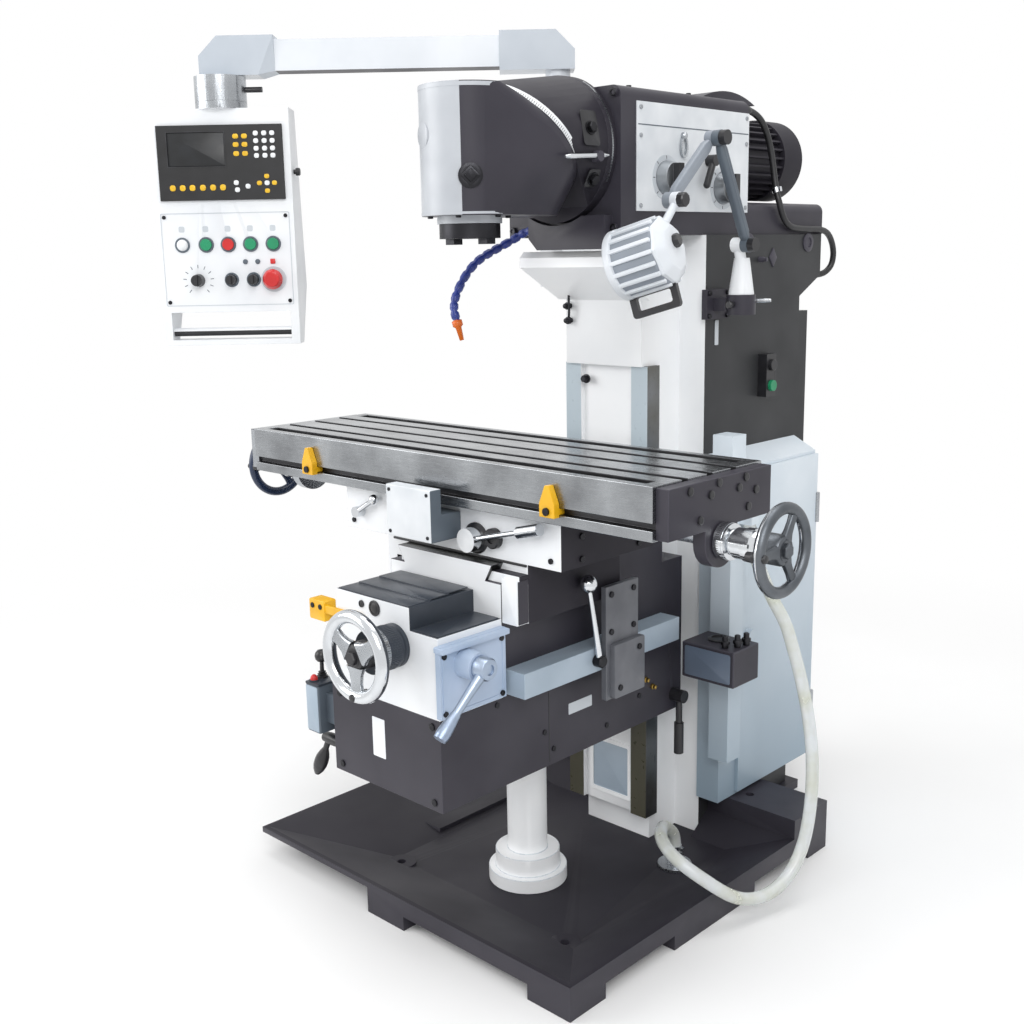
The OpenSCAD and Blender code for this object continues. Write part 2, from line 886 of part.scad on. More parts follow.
module cabinet_door() color("lightsteelblue") placed() difference() {
    union() {
        block([cabinet_x - cabinet_wall, cabinet_x + door_proud], [door_y[0] + gap, door_y[1] - gap],
            [door_z[0] + gap, door_z[1] - gap]);
        rod_x([cabinet_x, door_y[0] + latch_inset, (door_z[0] + door_z[1]) / 2], latch_l, latch_r);
        for (share = hinge_shares) rod_z([cabinet_x + door_proud, door_y[1],
            door_z[0] + share * (door_z[1] - door_z[0])], hinge_h, hinge_r);
    }
}

module cable_duct() color("silver") placed() {
    top = hose_route[0];
    difference() {
        block(duct_x, duct_y, [duct_bottom_z, duct_top_z]);
        block(duct_x + [duct_wall, -duct_wall], duct_y + [duct_wall, -duct_wall],
            [duct_bottom_z - over, duct_top_z - duct_wall]);
    }
    for (z = [duct_bottom_z + duct_foot_h, duct_top_z - 2 * duct_foot_h])
        block([cabinet_x, cabinet_x + duct_foot_t], [duct_y[1] - over, duct_y[1] + duct_foot_d],
            [z, z + duct_foot_h]);
    block([duct_x[1] - over, top[0] + hose_r], span(top[1], hose_r), [top[2], top[2] + nipple_h]);
}

module oil_box() color("dimgray") placed()
    block([oil_box_x, oil_box_x + oil_box_size[0]], [duct_y[0] - oil_box_size[1], duct_y[0]],
        [oil_box_z, oil_box_z + oil_box_size[2]]);

module column_brackets() color("gray") placed() {
    top = post_foot_z + post_bracket_h;
    difference() {
        union() {
            block([post_at[0], -column_half_w], span(post_at[1], post_bracket_t), [post_foot_z, top]);
            rod_z([post_at[0], post_at[1], post_foot_z], post_bracket_h, post_bracket_r);
        }
        rod_z([post_at[0], post_at[1], post_foot_z + post_seat], post_bracket_h, post_r + run);
    }
    difference() {
        union() {
            block([column_half_w, column_half_w + lamp_plate_t], span(lamp_y, lamp_plate_half[0]),
                span(lamp_base_z + lamp_cup_h / 2, lamp_plate_half[1]));
            block([column_half_w, lamp_x], span(lamp_y, lamp_bar_half[0]),
                span(lamp_base_z + lamp_cup_h / 2, lamp_bar_half[1]));
            rod_z([lamp_x, lamp_y, lamp_base_z], lamp_cup_h, lamp_cup_r);
        }
        rod_z([lamp_x, lamp_y, lamp_base_z + lamp_cup_floor], lamp_cup_h, lamp_stem_r + run);
    }
}

module drain_cover() color("gray") placed() {
    rod_z(drain_at, drain_t, drain_r);
    rod_z(drain_at, drain_stub_h, drain_stub_r);
}

module column_switch() color("black") placed() {
    out = switch_at[0] + switch_size[0];
    difference() {
        block([switch_at[0], out], span(switch_at[1], switch_size[1] / 2),
            span(switch_at[2], switch_size[2] / 2));
        for (s = [-1, 1])
            rod_x([out - switch_depth, switch_at[1], switch_at[2] + s * button_rise],
                switch_depth + over, button_r + gap);
    }
}

module switch_button(s)
    rod_x([switch_at[0] + switch_size[0] - button_in, switch_at[1], switch_at[2] + s * button_rise],
        button_in + button_proud, button_r);

module start_button() color("green") placed() switch_button(-1);

module stop_button() color("dimgray") placed() switch_button(1);

module coolant_hose() color("lightblue") placed()
    sweep(hose_route, [for (p = hose_route) hose_r], hose_sides, hose_up);

module motor_cable() color("black") placed()
    sweep(cable_route, [for (p = cable_route) cable_r], cable_sides, cable_up);

module knee() color("dimgray") placed() {
    rail_z = knee_top_z - cross_rail_h;
    back = neck_front_y + way_gap + keeper_t;
    difference() {
        union() {
            block(span(0, knee_half_w), [knee_front_y, knee_rear_y], [knee_bottom_z, gearbox_z]);
            block(span(0, knee_half_w), [gearbox_rear_y, knee_rear_y], [gearbox_z - over, rail_z]);
            front_slab([gearbox_rear_y, knee_rear_y],
                dovetail(cross_rail_half_w, cross_rail_flare, cross_rail_h, rail_z, 0));
            for (s = [-1, 1]) scale([s, 1, 1]) {
                block([way_half_w + way_gap, knee_half_w], [knee_rear_y - over, back],
                    [knee_bottom_z, rail_z - ear_top_drop]);
                block([neck_half_w + keeper_clear, knee_half_w], [neck_front_y + way_gap, back],
                    [knee_bottom_z, rail_z - ear_top_drop]);
            }
        }
        rod_z([0, screw_y, knee_bottom_z - over], knee_h - bore_roof + over, pedestal_r + knee_bore_clear);
        rod_z([0, screw_y, knee_bottom_z], knee_h - bore_roof + screw_seat, screw_r + run);
        rod_x([knee_half_w - lever_pin_l, way_front_y + clamp_back, knee_bottom_z + clamp_rise],
            lever_pin_l + over, lever_pin_r + run);
        rod_x([-knee_half_w - over, vlever_y, knee_bottom_z + vlever_rise],
            lever_pin_l + over, lever_pin_r + run);
    }
}

module feed_gearbox() color("whitesmoke") placed() difference() {
    union() {
        block([gearbox_left_x, gearbox_step_x], [knee_front_y, gearbox_rear_y],
            [gearbox_z, gearbox_z + gearbox_h]);
        block([gearbox_step_x - over, knee_half_w], [knee_front_y, gearbox_rear_y],
            [gearbox_z, gearbox_z + gearbox_h - gearbox_step_h]);
    }
    rod_y([cross_x, knee_front_y - over, knee_bottom_z + cross_rise], cross_shaft_in + over,
        cross_shaft_r + run);
}

module elevating_screw() color("silver") placed()
    rod_z([0, screw_y, screw_bottom_z], knee_top_z - bore_roof + screw_seat - gap - screw_bottom_z, screw_r);

module gearbox_side_plate() color("lightsteelblue") placed() {
    out = knee_half_w + plate_t + boss_len;
    difference() {
        union() {
            block([knee_half_w, knee_half_w + plate_t],
                [knee_front_y - plate_margin, gearbox_rear_y - plate_margin / 2],
                [gearbox_z + plate_margin, gearbox_z + plate_margin + plate_h]);
            rod_x([knee_half_w, crank_y, crank_z], plate_t + boss_len, plate_boss_r);
        }
        rod_x([out - crank_pin_l, crank_y, crank_z], crank_pin_l + over, crank_pin_r + run);
    }
}

module elevating_crank() color("silver") placed() {
    face = knee_half_w + plate_t + boss_len;
    rod_x([face - crank_pin_l + gap, crank_y, crank_z], crank_pin_l, crank_pin_r);
    translate([face + gap + crank_hub_l / 2, crank_y, crank_z]) rotate([180 - crank_lean, 0, 0]) {
        cylinder(h = crank_arm, r = crank_arm_r);
        translate([0, 0, crank_arm - crank_tip_l]) cylinder(h = crank_tip_l, r = crank_tip_r);
    }
    rod_x([face + gap, crank_y, crank_z], crank_hub_l, crank_hub_r);
}

module trip_rail() color("silver") placed() {
    front = gearbox_rear_y + rail_front_gap;
    out = knee_half_w + rail_size;
    difference() {
        union() {
            block([knee_half_w, out], [front, front + rail_l], span(rail_bottom_z + rail_size / 2, rail_size / 2));
            block([out, out + bracket_t], [front + trip_bracket_start, front + trip_bracket_start + bracket_l],
                [rail_bottom_z - bracket_down, rail_bottom_z + rail_size + bracket_up]);
        }
        rod_x([out - lever_pin_l, trip_lever_y, rail_bottom_z + rail_size / 2], lever_pin_l + over,
            lever_pin_r + run);
    }
}

module trip_lever() color("silver") placed() {
    out = knee_half_w + rail_size;
    z = rail_bottom_z + rail_size / 2;
    rod_x([out - lever_pin_l + gap, trip_lever_y, z], lever_pin_l, lever_pin_r);
    rod_x([out + gap, trip_lever_y, z], trip_l, trip_r);
    translate([out + gap + trip_l / 2, trip_lever_y, z]) rotate([trip_lean, 0, 0]) {
        cylinder(h = trip_arm, r = trip_rod_r);
        translate([0, 0, trip_arm + trip_ball_r / 2]) sphere(trip_ball_r);
    }
}

module knee_switch_box() color("silver") placed() {
    z = knee_bottom_z + switch_box_rise;
    x = [-knee_half_w - switch_box_size[0], -knee_half_w];
    difference() {
        union() {
            block(x, [switch_box_y, switch_box_y + switch_box_size[1]], [z, z + switch_box_size[2]]);
            rod_z([x[0] + switch_box_size[0] * pilot_share, switch_box_y + switch_box_size[1] / 2,
                z + switch_box_size[2] - over], pilot_h + over, pilot_r);
        }
        translate(stick_centre()) sphere(stick_socket_r + run);
    }
}

function stick_centre() = [-knee_half_w - switch_box_size[0] * stick_share,
    switch_box_y + switch_box_size[1] / 2, knee_bottom_z + switch_box_rise + switch_box_size[2] - stick_sink];

module feed_joystick() color("black") placed() translate(stick_centre()) {
    sphere(stick_socket_r);
    cylinder(h = stick_sink + stick_l, r = stick_r);
    translate([0, 0, stick_sink + stick_l]) sphere(stick_ball_r);
}

module vertical_feed_lever() color("black") placed() {
    at = [-knee_half_w, vlever_y, knee_bottom_z + vlever_rise];
    rod_x(at - [vlever_hub_l, 0, 0], vlever_hub_l - gap, vlever_hub_r);
    rod_x(at - [gap, 0, 0], lever_pin_l, lever_pin_r);
    translate(at - [vlever_hub_l - vlever_hub_r, 0, 0]) rotate([0, 180 + vlever_lean, 0]) {
        cylinder(h = vlever_arm, r = vlever_rod_r);
        translate([0, 0, vlever_arm - vlever_grip_l]) cylinder(h = vlever_grip_l, r = vlever_grip_r);
        translate([0, 0, vlever_arm]) sphere(vlever_grip_r);
    }
}

module knee_clamp_lever() color("black") placed() {
    at = [knee_half_w, way_front_y + clamp_back, knee_bottom_z + clamp_rise];
    rod_x(at + [gap, 0, 0], clamp_hub_l, clamp_hub_r);
    rod_x(at + [gap - lever_pin_l, 0, 0], lever_pin_l, lever_pin_r);
    translate(at + [clamp_hub_l - clamp_hub_r, 0, 0]) rotate([180, 0, 0]) {
        cylinder(h = clamp_arm, r = clamp_rod_r);
        translate([0, 0, clamp_arm - clamp_grip_l]) cylinder(h = clamp_grip_l, r = clamp_grip_r);
    }
}

module cross_handwheel() color("black") placed() {
    at = [cross_x, knee_front_y - gap, knee_bottom_z + cross_rise];
    translate(at - [0, dial_l, 0]) rotate([90, 0, 0]) handwheel(cross_hub_r, wheel_hub_l, 0);
    rod_y(at - [0, dial_l, 0], dial_l, dial_r);
    rod_y(at - [0, over, 0], cross_shaft_in, cross_shaft_r);
}

module saddle() color("whitesmoke") placed() difference() {
    union() {
        block(saddle_x, [saddle_front_y, saddle_rear_y], [saddle_z, saddle_top_z]);
        for (side = [-1, 1])
            block(span(side * (saddle_step_half_w - skirt_t / 2), skirt_t / 2), [saddle_front_y, saddle_rear_y],
                [saddle_low_z - skirt_drop, saddle_low_z + over]);
        block(span(0, saddle_step_half_w), [saddle_front_y, saddle_rear_y], [saddle_low_z, saddle_z + over]);
        side_slab(saddle_x, [for (p = dovetail(table_rail_half_w, table_rail_flare,
            table_rail_h, saddle_top_z, 0)) p + [table_mid_y, 0]]);
        block(apron_x, [saddle_front_y - apron_t, saddle_front_y + over], [saddle_low_z, saddle_low_z + apron_h]);
    }
    front_slab([saddle_front_y - apron_t - over, saddle_rear_y + over],
        dovetail(cross_rail_half_w, cross_rail_flare, cross_rail_h, knee_top_z - cross_rail_h, way_gap));
    rod_x([-saddle_half_w - over, table_mid_y, leadscrew_z], 2 * (saddle_half_w + over), saddle_groove_r);
    rod_y([feed_x, saddle_front_y - over, saddle_z + feed_up], lever_pin_l + over, lever_pin_r + run);
    rod_y([clampl_x, saddle_front_y - over, saddle_z + clampl_up], lever_pin_l + over, lever_pin_r + run);
}

module saddle_switch_box() color("gray") placed() {
    z = saddle_z + trip_box_rise;
    y = saddle_front_y - trip_box_out;
    block(trip_box_x, [y - trip_box_t, y], [z, z + trip_box_h]);
    block(trip_box_x, [y - over, saddle_front_y], [z, z + trip_box_foot_h]);
}

module table_feed_lever() color("silver") placed() {
    at = [feed_x, saddle_front_y, saddle_z + feed_up];
    rod_y(at - [0, feed_hub_l, 0], feed_hub_l - gap, feed_hub_r);
    rod_y(at - [0, gap, 0], lever_pin_l, lever_pin_r);
    translate(at - [0, feed_hub_l - 2 * feed_rod_r, 0]) rotate([0, 90 - feed_rise, 0]) {
        cylinder(h = feed_arm, r = feed_rod_r);
        translate([0, 0, feed_arm - over]) cylinder(h = feed_grip_l, r = feed_grip_r);
    }
}

module table_clamp_lever() color("black") placed() {
    at = [clampl_x, saddle_front_y, saddle_z + clampl_up];
    rod_y(at - [0, clampl_hub_l, 0], clampl_hub_l - gap, clampl_hub_r);
    rod_y(at - [0, gap, 0], lever_pin_l, lever_pin_r);
    translate(at - [0, clampl_hub_l - clampl_rod_r, 0]) rotate([0, clampl_turn, 0]) {
        cylinder(h = clampl_arm, r = clampl_rod_r);
        translate([0, 0, clampl_arm]) sphere(clampl_ball_r);
    }
}

module table() color("silver") placed() difference() {
    block(table_x, [table_y, table_y + table_w], [table_z, table_top_z]);
    side_slab(table_x + [-over, over], [for (p = dovetail(table_rail_half_w, table_rail_flare,
        table_rail_h, saddle_top_z, way_gap)) p + [table_mid_y, 0]]);
    for (i = [-1 : 1]) {
        y = table_mid_y + i * slot_pitch;
        block(table_x + [-over, over], span(y, slot_w / 2), [table_top_z - slot_depth, table_top_z + over]);
        block(table_x + [-over, over], span(y, slot_head_w / 2),
            [table_top_z - slot_depth, table_top_z - slot_depth + slot_head_h]);
    }
    for (s = [-1, 1])
        block(table_x + [trough_end, -trough_end], span(table_mid_y + s * trough_off, trough_w / 2),
            [table_top_z - trough_d, table_top_z + over]);
    block(table_x + [-over, over], [table_y - over, table_y + front_slot_d],
        span(table_z + table_t * front_slot_share, front_slot_w / 2));
}

module table_end_brackets() color("dimgray") placed() for (s = [0, 1]) {
    x = s == 1 ? [table_x[1], table_x[1] + end_t] : [table_x[0] - end_t, table_x[0]];
    difference() {
        union() {
            block(x, span(table_mid_y, table_w / 2 - bracket_side), [table_z + bracket_bottom_drop,
                table_top_z - bracket_top_drop]);
            block(x, span(table_mid_y, lobe_r), [leadscrew_z, table_z + bracket_bottom_drop + over]);
            rod_x([x[0], table_mid_y, leadscrew_z], end_t, lobe_r);
        }
        rod_x([x[0] - over, table_mid_y, leadscrew_z], end_t + 2 * over, leadscrew_end_r + run);
    }
}

module table_leadscrew() color("silver") placed() {
    long = table_l + 2 * end_t + 2 * (collar_len + wheel_bore_l - gap);
    rod_x([table_x[0] + gap, table_mid_y, leadscrew_z], table_l - 2 * gap, leadscrew_r);
    rod_x([-table_shift - long / 2, table_mid_y, leadscrew_z], long, leadscrew_end_r);
}

module table_handwheels() color("dimgray") placed() for (s = [0, 1]) {
    x = s == 1 ? table_x[1] + end_t + gap : table_x[0] - end_t - gap;
    translate([x, table_mid_y, leadscrew_z]) rotate([0, s == 1 ? 90 : -90, 0]) {
        difference() {
            cylinder(h = collar_len, r = collar_wheel_r);
            translate([0, 0, -over]) cylinder(h = collar_len + 2 * over, r = leadscrew_end_r + gap);
        }
        translate([0, 0, collar_len]) handwheel(cross_hub_r, wheel_hub_l, leadscrew_end_r + gap);
    }
}

module trip_dogs() color("gold") placed() for (share = dog_x_shares) {
    x = table_x[0] + table_l * share;
    z = table_z + table_t * front_slot_share;
    front_slab([table_y - dog_out, table_y], [[x - dog_w / 2, z - dog_low], [x + dog_w / 2, z - dog_low],
        [x + dog_w / 2, z + dog_shoulder], [x + dog_tip, z + dog_high], [x - dog_tip, z + dog_high],
        [x - dog_w / 2, z + dog_shoulder]]);
    block(span(x, dog_w / 2), [table_y - over, table_y + front_slot_d - gap], span(z, front_slot_w / 2 - gap));
}

module ram() color("dimgray") placed() difference() {
    union() {
        translate([0, ram_rear_y, ram_z]) rotate([90, 0, 0]) linear_extrude(ram_l)
            arch_outline(ram_half_w, ram_h, ram_edge_r);
        translate([0, ram_tail_y, ram_z]) rotate([90, 0, 0]) linear_extrude(ram_tail_l + over)
            arch_outline(ram_half_w, ram_tail_h, ram_edge_r);
        front_slab([ram_front_y - lip_t, ram_front_y + over], [[lip_x[0], ram_z - lip_down + lip_corner],
            [lip_x[0] + lip_corner, ram_z - lip_down], [lip_x[1], ram_z - lip_down],
            [lip_x[1], ram_z + lip_up], [lip_x[0], ram_z + lip_up]]);
        intersection() {
            rod_x([-dome_half_w, dome_y, ram_top_z + dome_rise - dome_r], 2 * dome_half_w, dome_r);
            block(span(0, dome_half_w), span(dome_y, dome_l / 2), [ram_top_z, ram_top_z + 2 * dome_rise]);
        }
        for (s = [-1, 1], z = [ram_z + corner_bolt_inset, ram_top_z - corner_bolt_inset])
            rod_y([s * (ram_half_w - corner_bolt_inset), ram_front_y - corner_bolt_h, z],
                corner_bolt_h + over, corner_bolt_r);
    }
    block(lip_x, [ram_front_y - over, ram_front_y + 2 * over], [ram_z - 2 * lip_down, ram_z]);
    rod_y([0, ram_front_y - lip_t - over, head_z], lip_t + over, flange_ring_r + lip_relief);
    rod_y([0, ram_front_y - over, head_z], spigot_l + gap + over, spigot_r + run);
    front_slab([ram_front_y + groove_front, ram_tail_y + over],
        dovetail(rail_half_w, rail_flare, rail_h, column_top_z, way_gap));
}

function panel_y() = [ram_front_y + panel_front, ram_rear_y - panel_rear];
function panel_z() = [ram_z + panel_low, ram_top_z - panel_high];
function on_panel(share, rise) = [ram_half_w + panel_t,
    panel_y()[0] + share * (panel_y()[1] - panel_y()[0]), ram_z + rise];

module ram_side_panel() color("whitesmoke") placed() difference() {
    block([ram_half_w, ram_half_w + panel_t], panel_y(), panel_z());
    for (p = [on_panel(knob_y_shares[0], knob_rises[0]), on_panel(knob_y_shares[1], knob_rises[1]),
        on_panel(tee_y_share, tee_rise)])
        rod_x(p - [panel_t + over, 0, 0], panel_t + 2 * over, knob_pin_r + run);
}

module speed_knob(i) {
    at = on_panel(knob_y_shares[i], knob_rises[i]);
    rod_x(at - [panel_t - gap, 0, 0], panel_t, knob_pin_r);
    rod_x(at + [gap, 0, 0], knob_l, knob_r, knob_r * knob_taper_share);
    block([at[0] + knob_l, at[0] + knob_l + knob_grip_l], span(at[1], knob_grip_w / 2),
        span(at[2], knob_r * knob_grip_share));
}

module speed_knob_front() color("black") placed() speed_knob(0);

module speed_knob_rear() color("black") placed() speed_knob(1);

module ram_clamp_handle() color("black") placed() {
    at = on_panel(tee_y_share, tee_rise);
    rod_x(at - [panel_t - gap, 0, 0], panel_t, knob_pin_r);
    rod_x(at + [gap, 0, 0], tee_hub_l, tee_hub_r);
    translate(at + [tee_hub_l - tee_rod_r, 0, 0]) rotate([180 + tee_lean, 0, 0]) {
        cylinder(h = tee_arm, r = tee_rod_r);
        translate([0, 0, tee_arm]) sphere(tee_rod_r);
    }
}

module drive_motor() color("dimgray") placed() translate([0, ram_rear_y, head_z + motor_rise])
    rotate([-90, 0, 0]) {
        cylinder(h = motor_flange_t, r = motor_flange_r);
        linear_extrude(motor_l - fan_l) {
            circle(motor_core_r);
            for (a = [0 : fin_count - 1]) rotate(360 * a / fin_count) translate([0, -fin_t / 2])
                square([motor_r, fin_t]);
        }
        translate([0, 0, motor_l - fan_l]) cylinder(h = fan_l - fan_edge_r, r = fan_r);
        translate([0, 0, motor_l - fan_edge_r]) cylinder(h = fan_edge_r, r1 = fan_r, r2 = fan_r - fan_edge_r);
    }

// Beads along the coolant pipe, then the nozzle
function pipe_path() = [for (i = [0 : len(pipe_route) - 2], k = [0 : pipe_steps - 1])
    pipe_route[i] + (pipe_route[i + 1] - pipe_route[i]) * k / pipe_steps];
function pipe_end() = pipe_route[len(pipe_route) - 1];
function pipe_aim() = unit(pipe_end() - pipe_route[len(pipe_route) - 2]);
module coolant_pipe() color("mediumblue") placed() {
    beads = pipe_path();
    sweep(concat(beads, [for (d = nozzle_steps) pipe_end() + d * pipe_aim()]),
        concat([for (i = [0 : len(beads) - 1]) i % pipe_steps == 0 ? pipe_r : pipe_bead_r], nozzle_radii),
        pipe_sides, pipe_up);
}

module joint_frame() translate([0, joint_y, joint_z]) rotate([-45, 0, 0]) children();

module swivel_body() color("dimgray") placed() difference() {
    union() {
        difference() {
            hull() {
                rod_y([0, ram_front_y - gap - flange_ring_t, head_z], flange_ring_t, flange_ring_r, $fn = loft_fn);
                joint_frame() translate([0, 0, gap / 2]) cylinder(h = joint_disc_t, r = head_r, $fn = loft_fn);
            }
            joint_frame() translate([-half_space, -half_space, gap / 2 - half_space])
                cube([2 * half_space, 2 * half_space, half_space]);
        }
        rod_y([0, ram_front_y - gap - flange_ring_t, head_z], flange_ring_t, flange_ring_r);
        rod_y([0, ram_front_y - gap - over, head_z], spigot_l + over, spigot_r);
    }
    joint_frame() translate([0, 0, -over]) cylinder(h = joint_spigot_l + over, r = joint_spigot_r + run);
}

module spindle_head() color("dimgray") placed() {
    difference() {
        union() {
            difference() {
                hull() {
                    rod_z([0, spindle_y, head_bottom_z], head_drop + head_up, head_front_r, $fn = loft_fn);
                    rod_z([0, joint_y - heel_back, head_bottom_z], heel_h, heel_r, $fn = loft_fn);
                    joint_frame() translate([0, 0, -joint_disc_t]) cylinder(h = joint_disc_t - gap / 2, r = head_r,
                        $fn = loft_fn);
                }
                joint_frame() translate([-half_space, -half_space, -gap / 2])
                    cube([2 * half_space, 2 * half_space, half_space]);
                joint_frame() rotate([180, 0, 0]) difference() {
                    cylinder(h = rim_relief, r = 2 * head_r);
                    translate([0, 0, -over]) cylinder(h = rim_relief + 2 * over, r1 = head_r,
                        r2 = head_r + rim_relief * rim_slope_share);
                }
            }
            joint_frame() translate([0, 0, -over]) cylinder(h = joint_spigot_l - gap + over, r = joint_spigot_r);
            rod_z([0, spindle_y, head_bottom_z - nose_ring_h], nose_ring_h + over, nose_ring_r);
        }
        rod_z([0, spindle_y, head_bottom_z - nose_ring_h - over], quill_top_z + gap + over - head_bottom_z
            + nose_ring_h, quill_r + run);
    }
}

module spindle() color("silver") placed() {
    face_z = head_bottom_z - nose_ring_h - gap - nose_h;
    difference() {
        union() {
            rod_z([0, spindle_y, face_z], nose_h, nose_r);
            rod_z([0, spindle_y, face_z], quill_top_z - face_z, quill_r);
            for (s = [-1, 1])
                block(span(s * (nose_r - key_l / 2 - key_inset), key_l / 2), span(spindle_y, key_w / 2),
                    [face_z - key_h, face_z + over]);
        }
        rod_z([0, spindle_y, face_z - over], taper_l_share * nose_r, taper_mouth_share * nose_r,
            taper_end_share * nose_r);
        rod_z([0, spindle_y, face_z], quill_top_z, drawbar_r);
    }
}

module arm_frame() translate([post_at[0], post_at[1], 0]) rotate([0, 0, arm_turn]) children();

module pendant_frame() arm_frame() translate([-arm_l, 0, 0]) children();

module elbow(s) front_slab(span(0, elbow_w / 2), [for (p = [[-elbow_l, -elbow_h / 2], [elbow_w / 2, -elbow_h / 2],
    [elbow_w / 2, elbow_h / 2 - elbow_cut], [elbow_w / 2 - elbow_cut, elbow_h / 2], [-elbow_l, elbow_h / 2]])
    [s * p[0], p[1] + arm_z]]);

module pendant_arm() color("whitesmoke") placed() difference() {
    bracket_top = post_foot_z + post_bracket_h;
    union() {
        arm_frame() {
            rod_z([0, 0, post_foot_z + post_seat + gap], arm_z - post_foot_z - post_seat, post_r);
            rod_z([0, 0, bracket_top + gap], post_collar_h, post_collar_r);
            elbow(1);
            block([-arm_l, 0], span(0, beam_w / 2), span(arm_z, beam_h / 2));
        }
        pendant_frame() {
            elbow(-1);
            rod_z([0, 0, arm_z - elbow_h / 2 - swivel_h], swivel_h + over, swivel_r);
            rod_x([swivel_r - over, 0, arm_z - elbow_h / 2 - swivel_h / 2], swivel_lever_l, swivel_lever_r);
        }
    }
    pendant_frame() rod_z([0, 0, arm_z - elbow_h / 2 - swivel_h - over], swivel_stub_l + gap + over,
        swivel_stub_r + run);
}

function face_at(share, drop) = [share * pendant_w, -pendant_axis_y, pendant_top_z - drop];
function push_places() = [for (s = push_x_shares) face_at(s, button_row_drop)];

module pendant_box() color("whitesmoke") placed() pendant_frame() difference() {
    union() {
        side_slab(span(0, pendant_w / 2), [[-pendant_axis_y, pendant_top_z],
            [-pendant_axis_y, pendant_bottom_z], [bottom_d - pendant_axis_y, pendant_bottom_z],
            [pendant_d - pendant_axis_y, pendant_bottom_z + pendant_h * bulge_share],
            [pendant_top_d - pendant_axis_y, pendant_top_z]]);
        rod_z([0, 0, pendant_top_z - over], swivel_collar_h - gap + over, swivel_r);
        rod_z([0, 0, pendant_top_z], swivel_collar_h + swivel_stub_l, swivel_stub_r);
    }
    difference() {
        block(span(0, handle_half_w), [-pendant_d, pendant_d], span(pendant_bottom_z + handle_low
            + handle_gap / 2, handle_gap / 2));
        rod_x([-handle_half_w - over, handle_bar_y - pendant_axis_y, pendant_bottom_z + handle_low
            + handle_bar_rise], 2 * (handle_half_w + over), handle_bar_r);
    }
    for (p = push_places()) rod_y(p - [0, over, 0], button_well, push_r + gap);
    rod_y(face_at(stop_x_share, knob_row_drop) - [0, over, 0], button_well, stop_stem_r + gap);
    for (s = concat([dial_x_share], selector_x_shares))
        rod_y(face_at(s, knob_row_drop) - [0, over, 0], face_pin_l + gap + over, face_pin_r + run);
}

module readout_unit() color("silver") placed() pendant_frame() difference() {
    block(span(0, dro_size[0] / 2), [-pendant_axis_y - dro_size[1], -pendant_axis_y],
        [pendant_top_z - dro_drop - dro_size[2], pendant_top_z - dro_drop]);
    block(span(screen_share * dro_size[0], screen_size[0] / 2),
        [-pendant_axis_y - dro_size[1] - over, -pendant_axis_y - dro_size[1] + screen_size[1]],
        [pendant_top_z - dro_drop - screen_drop - screen_size[2], pendant_top_z - dro_drop - screen_drop]);
}

module push_button(i) pendant_frame() rod_y(push_places()[i] - [0, push_proud, 0], push_proud + push_depth, push_r);

module push_button_1() color("green") placed() push_button(0);

module push_button_2() color("red") placed() push_button(1);

module push_button_3() color("green") placed() push_button(2);

module push_button_4() color("green") placed() push_button(3);

module emergency_stop() color("red") placed() pendant_frame() {
    at = face_at(stop_x_share, knob_row_drop);
    rod_y(at - [0, stop_stem_l, 0], stop_stem_l + push_depth, stop_stem_r);
    rod_y(at - [0, stop_stem_l + stop_l, 0], stop_l, stop_r * stop_taper_share, stop_r);
}

module face_knob(share, r, l) {
    at = face_at(share, knob_row_drop);
    rod_y(at - [0, over + gap, 0], face_pin_l + over, face_pin_r);
    rod_y(at - [0, l + gap, 0], l, r * knob_taper_share, r);
    block(span(at[0], face_grip_w / 2), [at[1] - l - face_grip_l, at[1] - l], span(at[2], r * knob_grip_share));
}

module feed_dial() color("black") placed() pendant_frame() face_knob(dial_x_share, feed_dial_r, feed_dial_l);

module selector_left() color("black") placed() pendant_frame()
    face_knob(selector_x_shares[0], selector_r, selector_l);

module selector_right() color("black") placed() pendant_frame()
    face_knob(selector_x_shares[1], selector_r, selector_l);

module lamp_swivel() color("whitesmoke") placed() {
    top = lamp_base_z + lamp_cup_h;
    difference() {
        union() {
            rod_z([lamp_x, lamp_y, lamp_base_z + lamp_cup_floor + gap], lamp_cup_h, lamp_stem_r);
            rod_z([lamp_x, lamp_y, top + gap], lamp_swivel_h, lamp_swivel_r[0], lamp_swivel_r[1]);
            strut([lamp_x, lamp_y, top + lamp_swivel_h - lamp_swivel_r[1]], [lamp_x, lamp_pivot[0], lamp_pivot[1]],
                lamp_lug_half);
            rod_x([lamp_x - lamp_lug_half, lamp_pivot[0], lamp_pivot[1]], 2 * lamp_lug_half, lamp_lug_r);
        }
        rod_x([lamp_x + lamp_lug_half - lamp_pin_l, lamp_pivot[0], lamp_pivot[1]], lamp_pin_l + over,
            lamp_pin_r + run);
    }
}

function outer_point(p) = [lamp_arm_x + lamp_eye_w / 2, p[0], p[1]];
function inner_point(p) = [lamp_arm_x - gap - lamp_eye_w / 2, p[0], p[1]];

module lamp_lower_arm() color("gray") placed() difference() {
    union() {
        strut(outer_point(lamp_pivot), outer_point(lamp_elbow), lamp_tube_r);
        for (p = [lamp_pivot, lamp_elbow]) {
            rod_x([lamp_arm_x, p[0], p[1]], lamp_eye_w, lamp_lug_r);
            rod_x([lamp_arm_x + lamp_eye_w - over, p[0], p[1]], lamp_knob_l + over, lamp_knob_r);
        }
        rod_x([lamp_arm_x - lamp_pin_l + gap, lamp_pivot[0], lamp_pivot[1]], lamp_pin_l, lamp_pin_r);
    }
    rod_x([lamp_arm_x - over, lamp_elbow[0], lamp_elbow[1]], lamp_pin_l + over, lamp_pin_r + run);
}

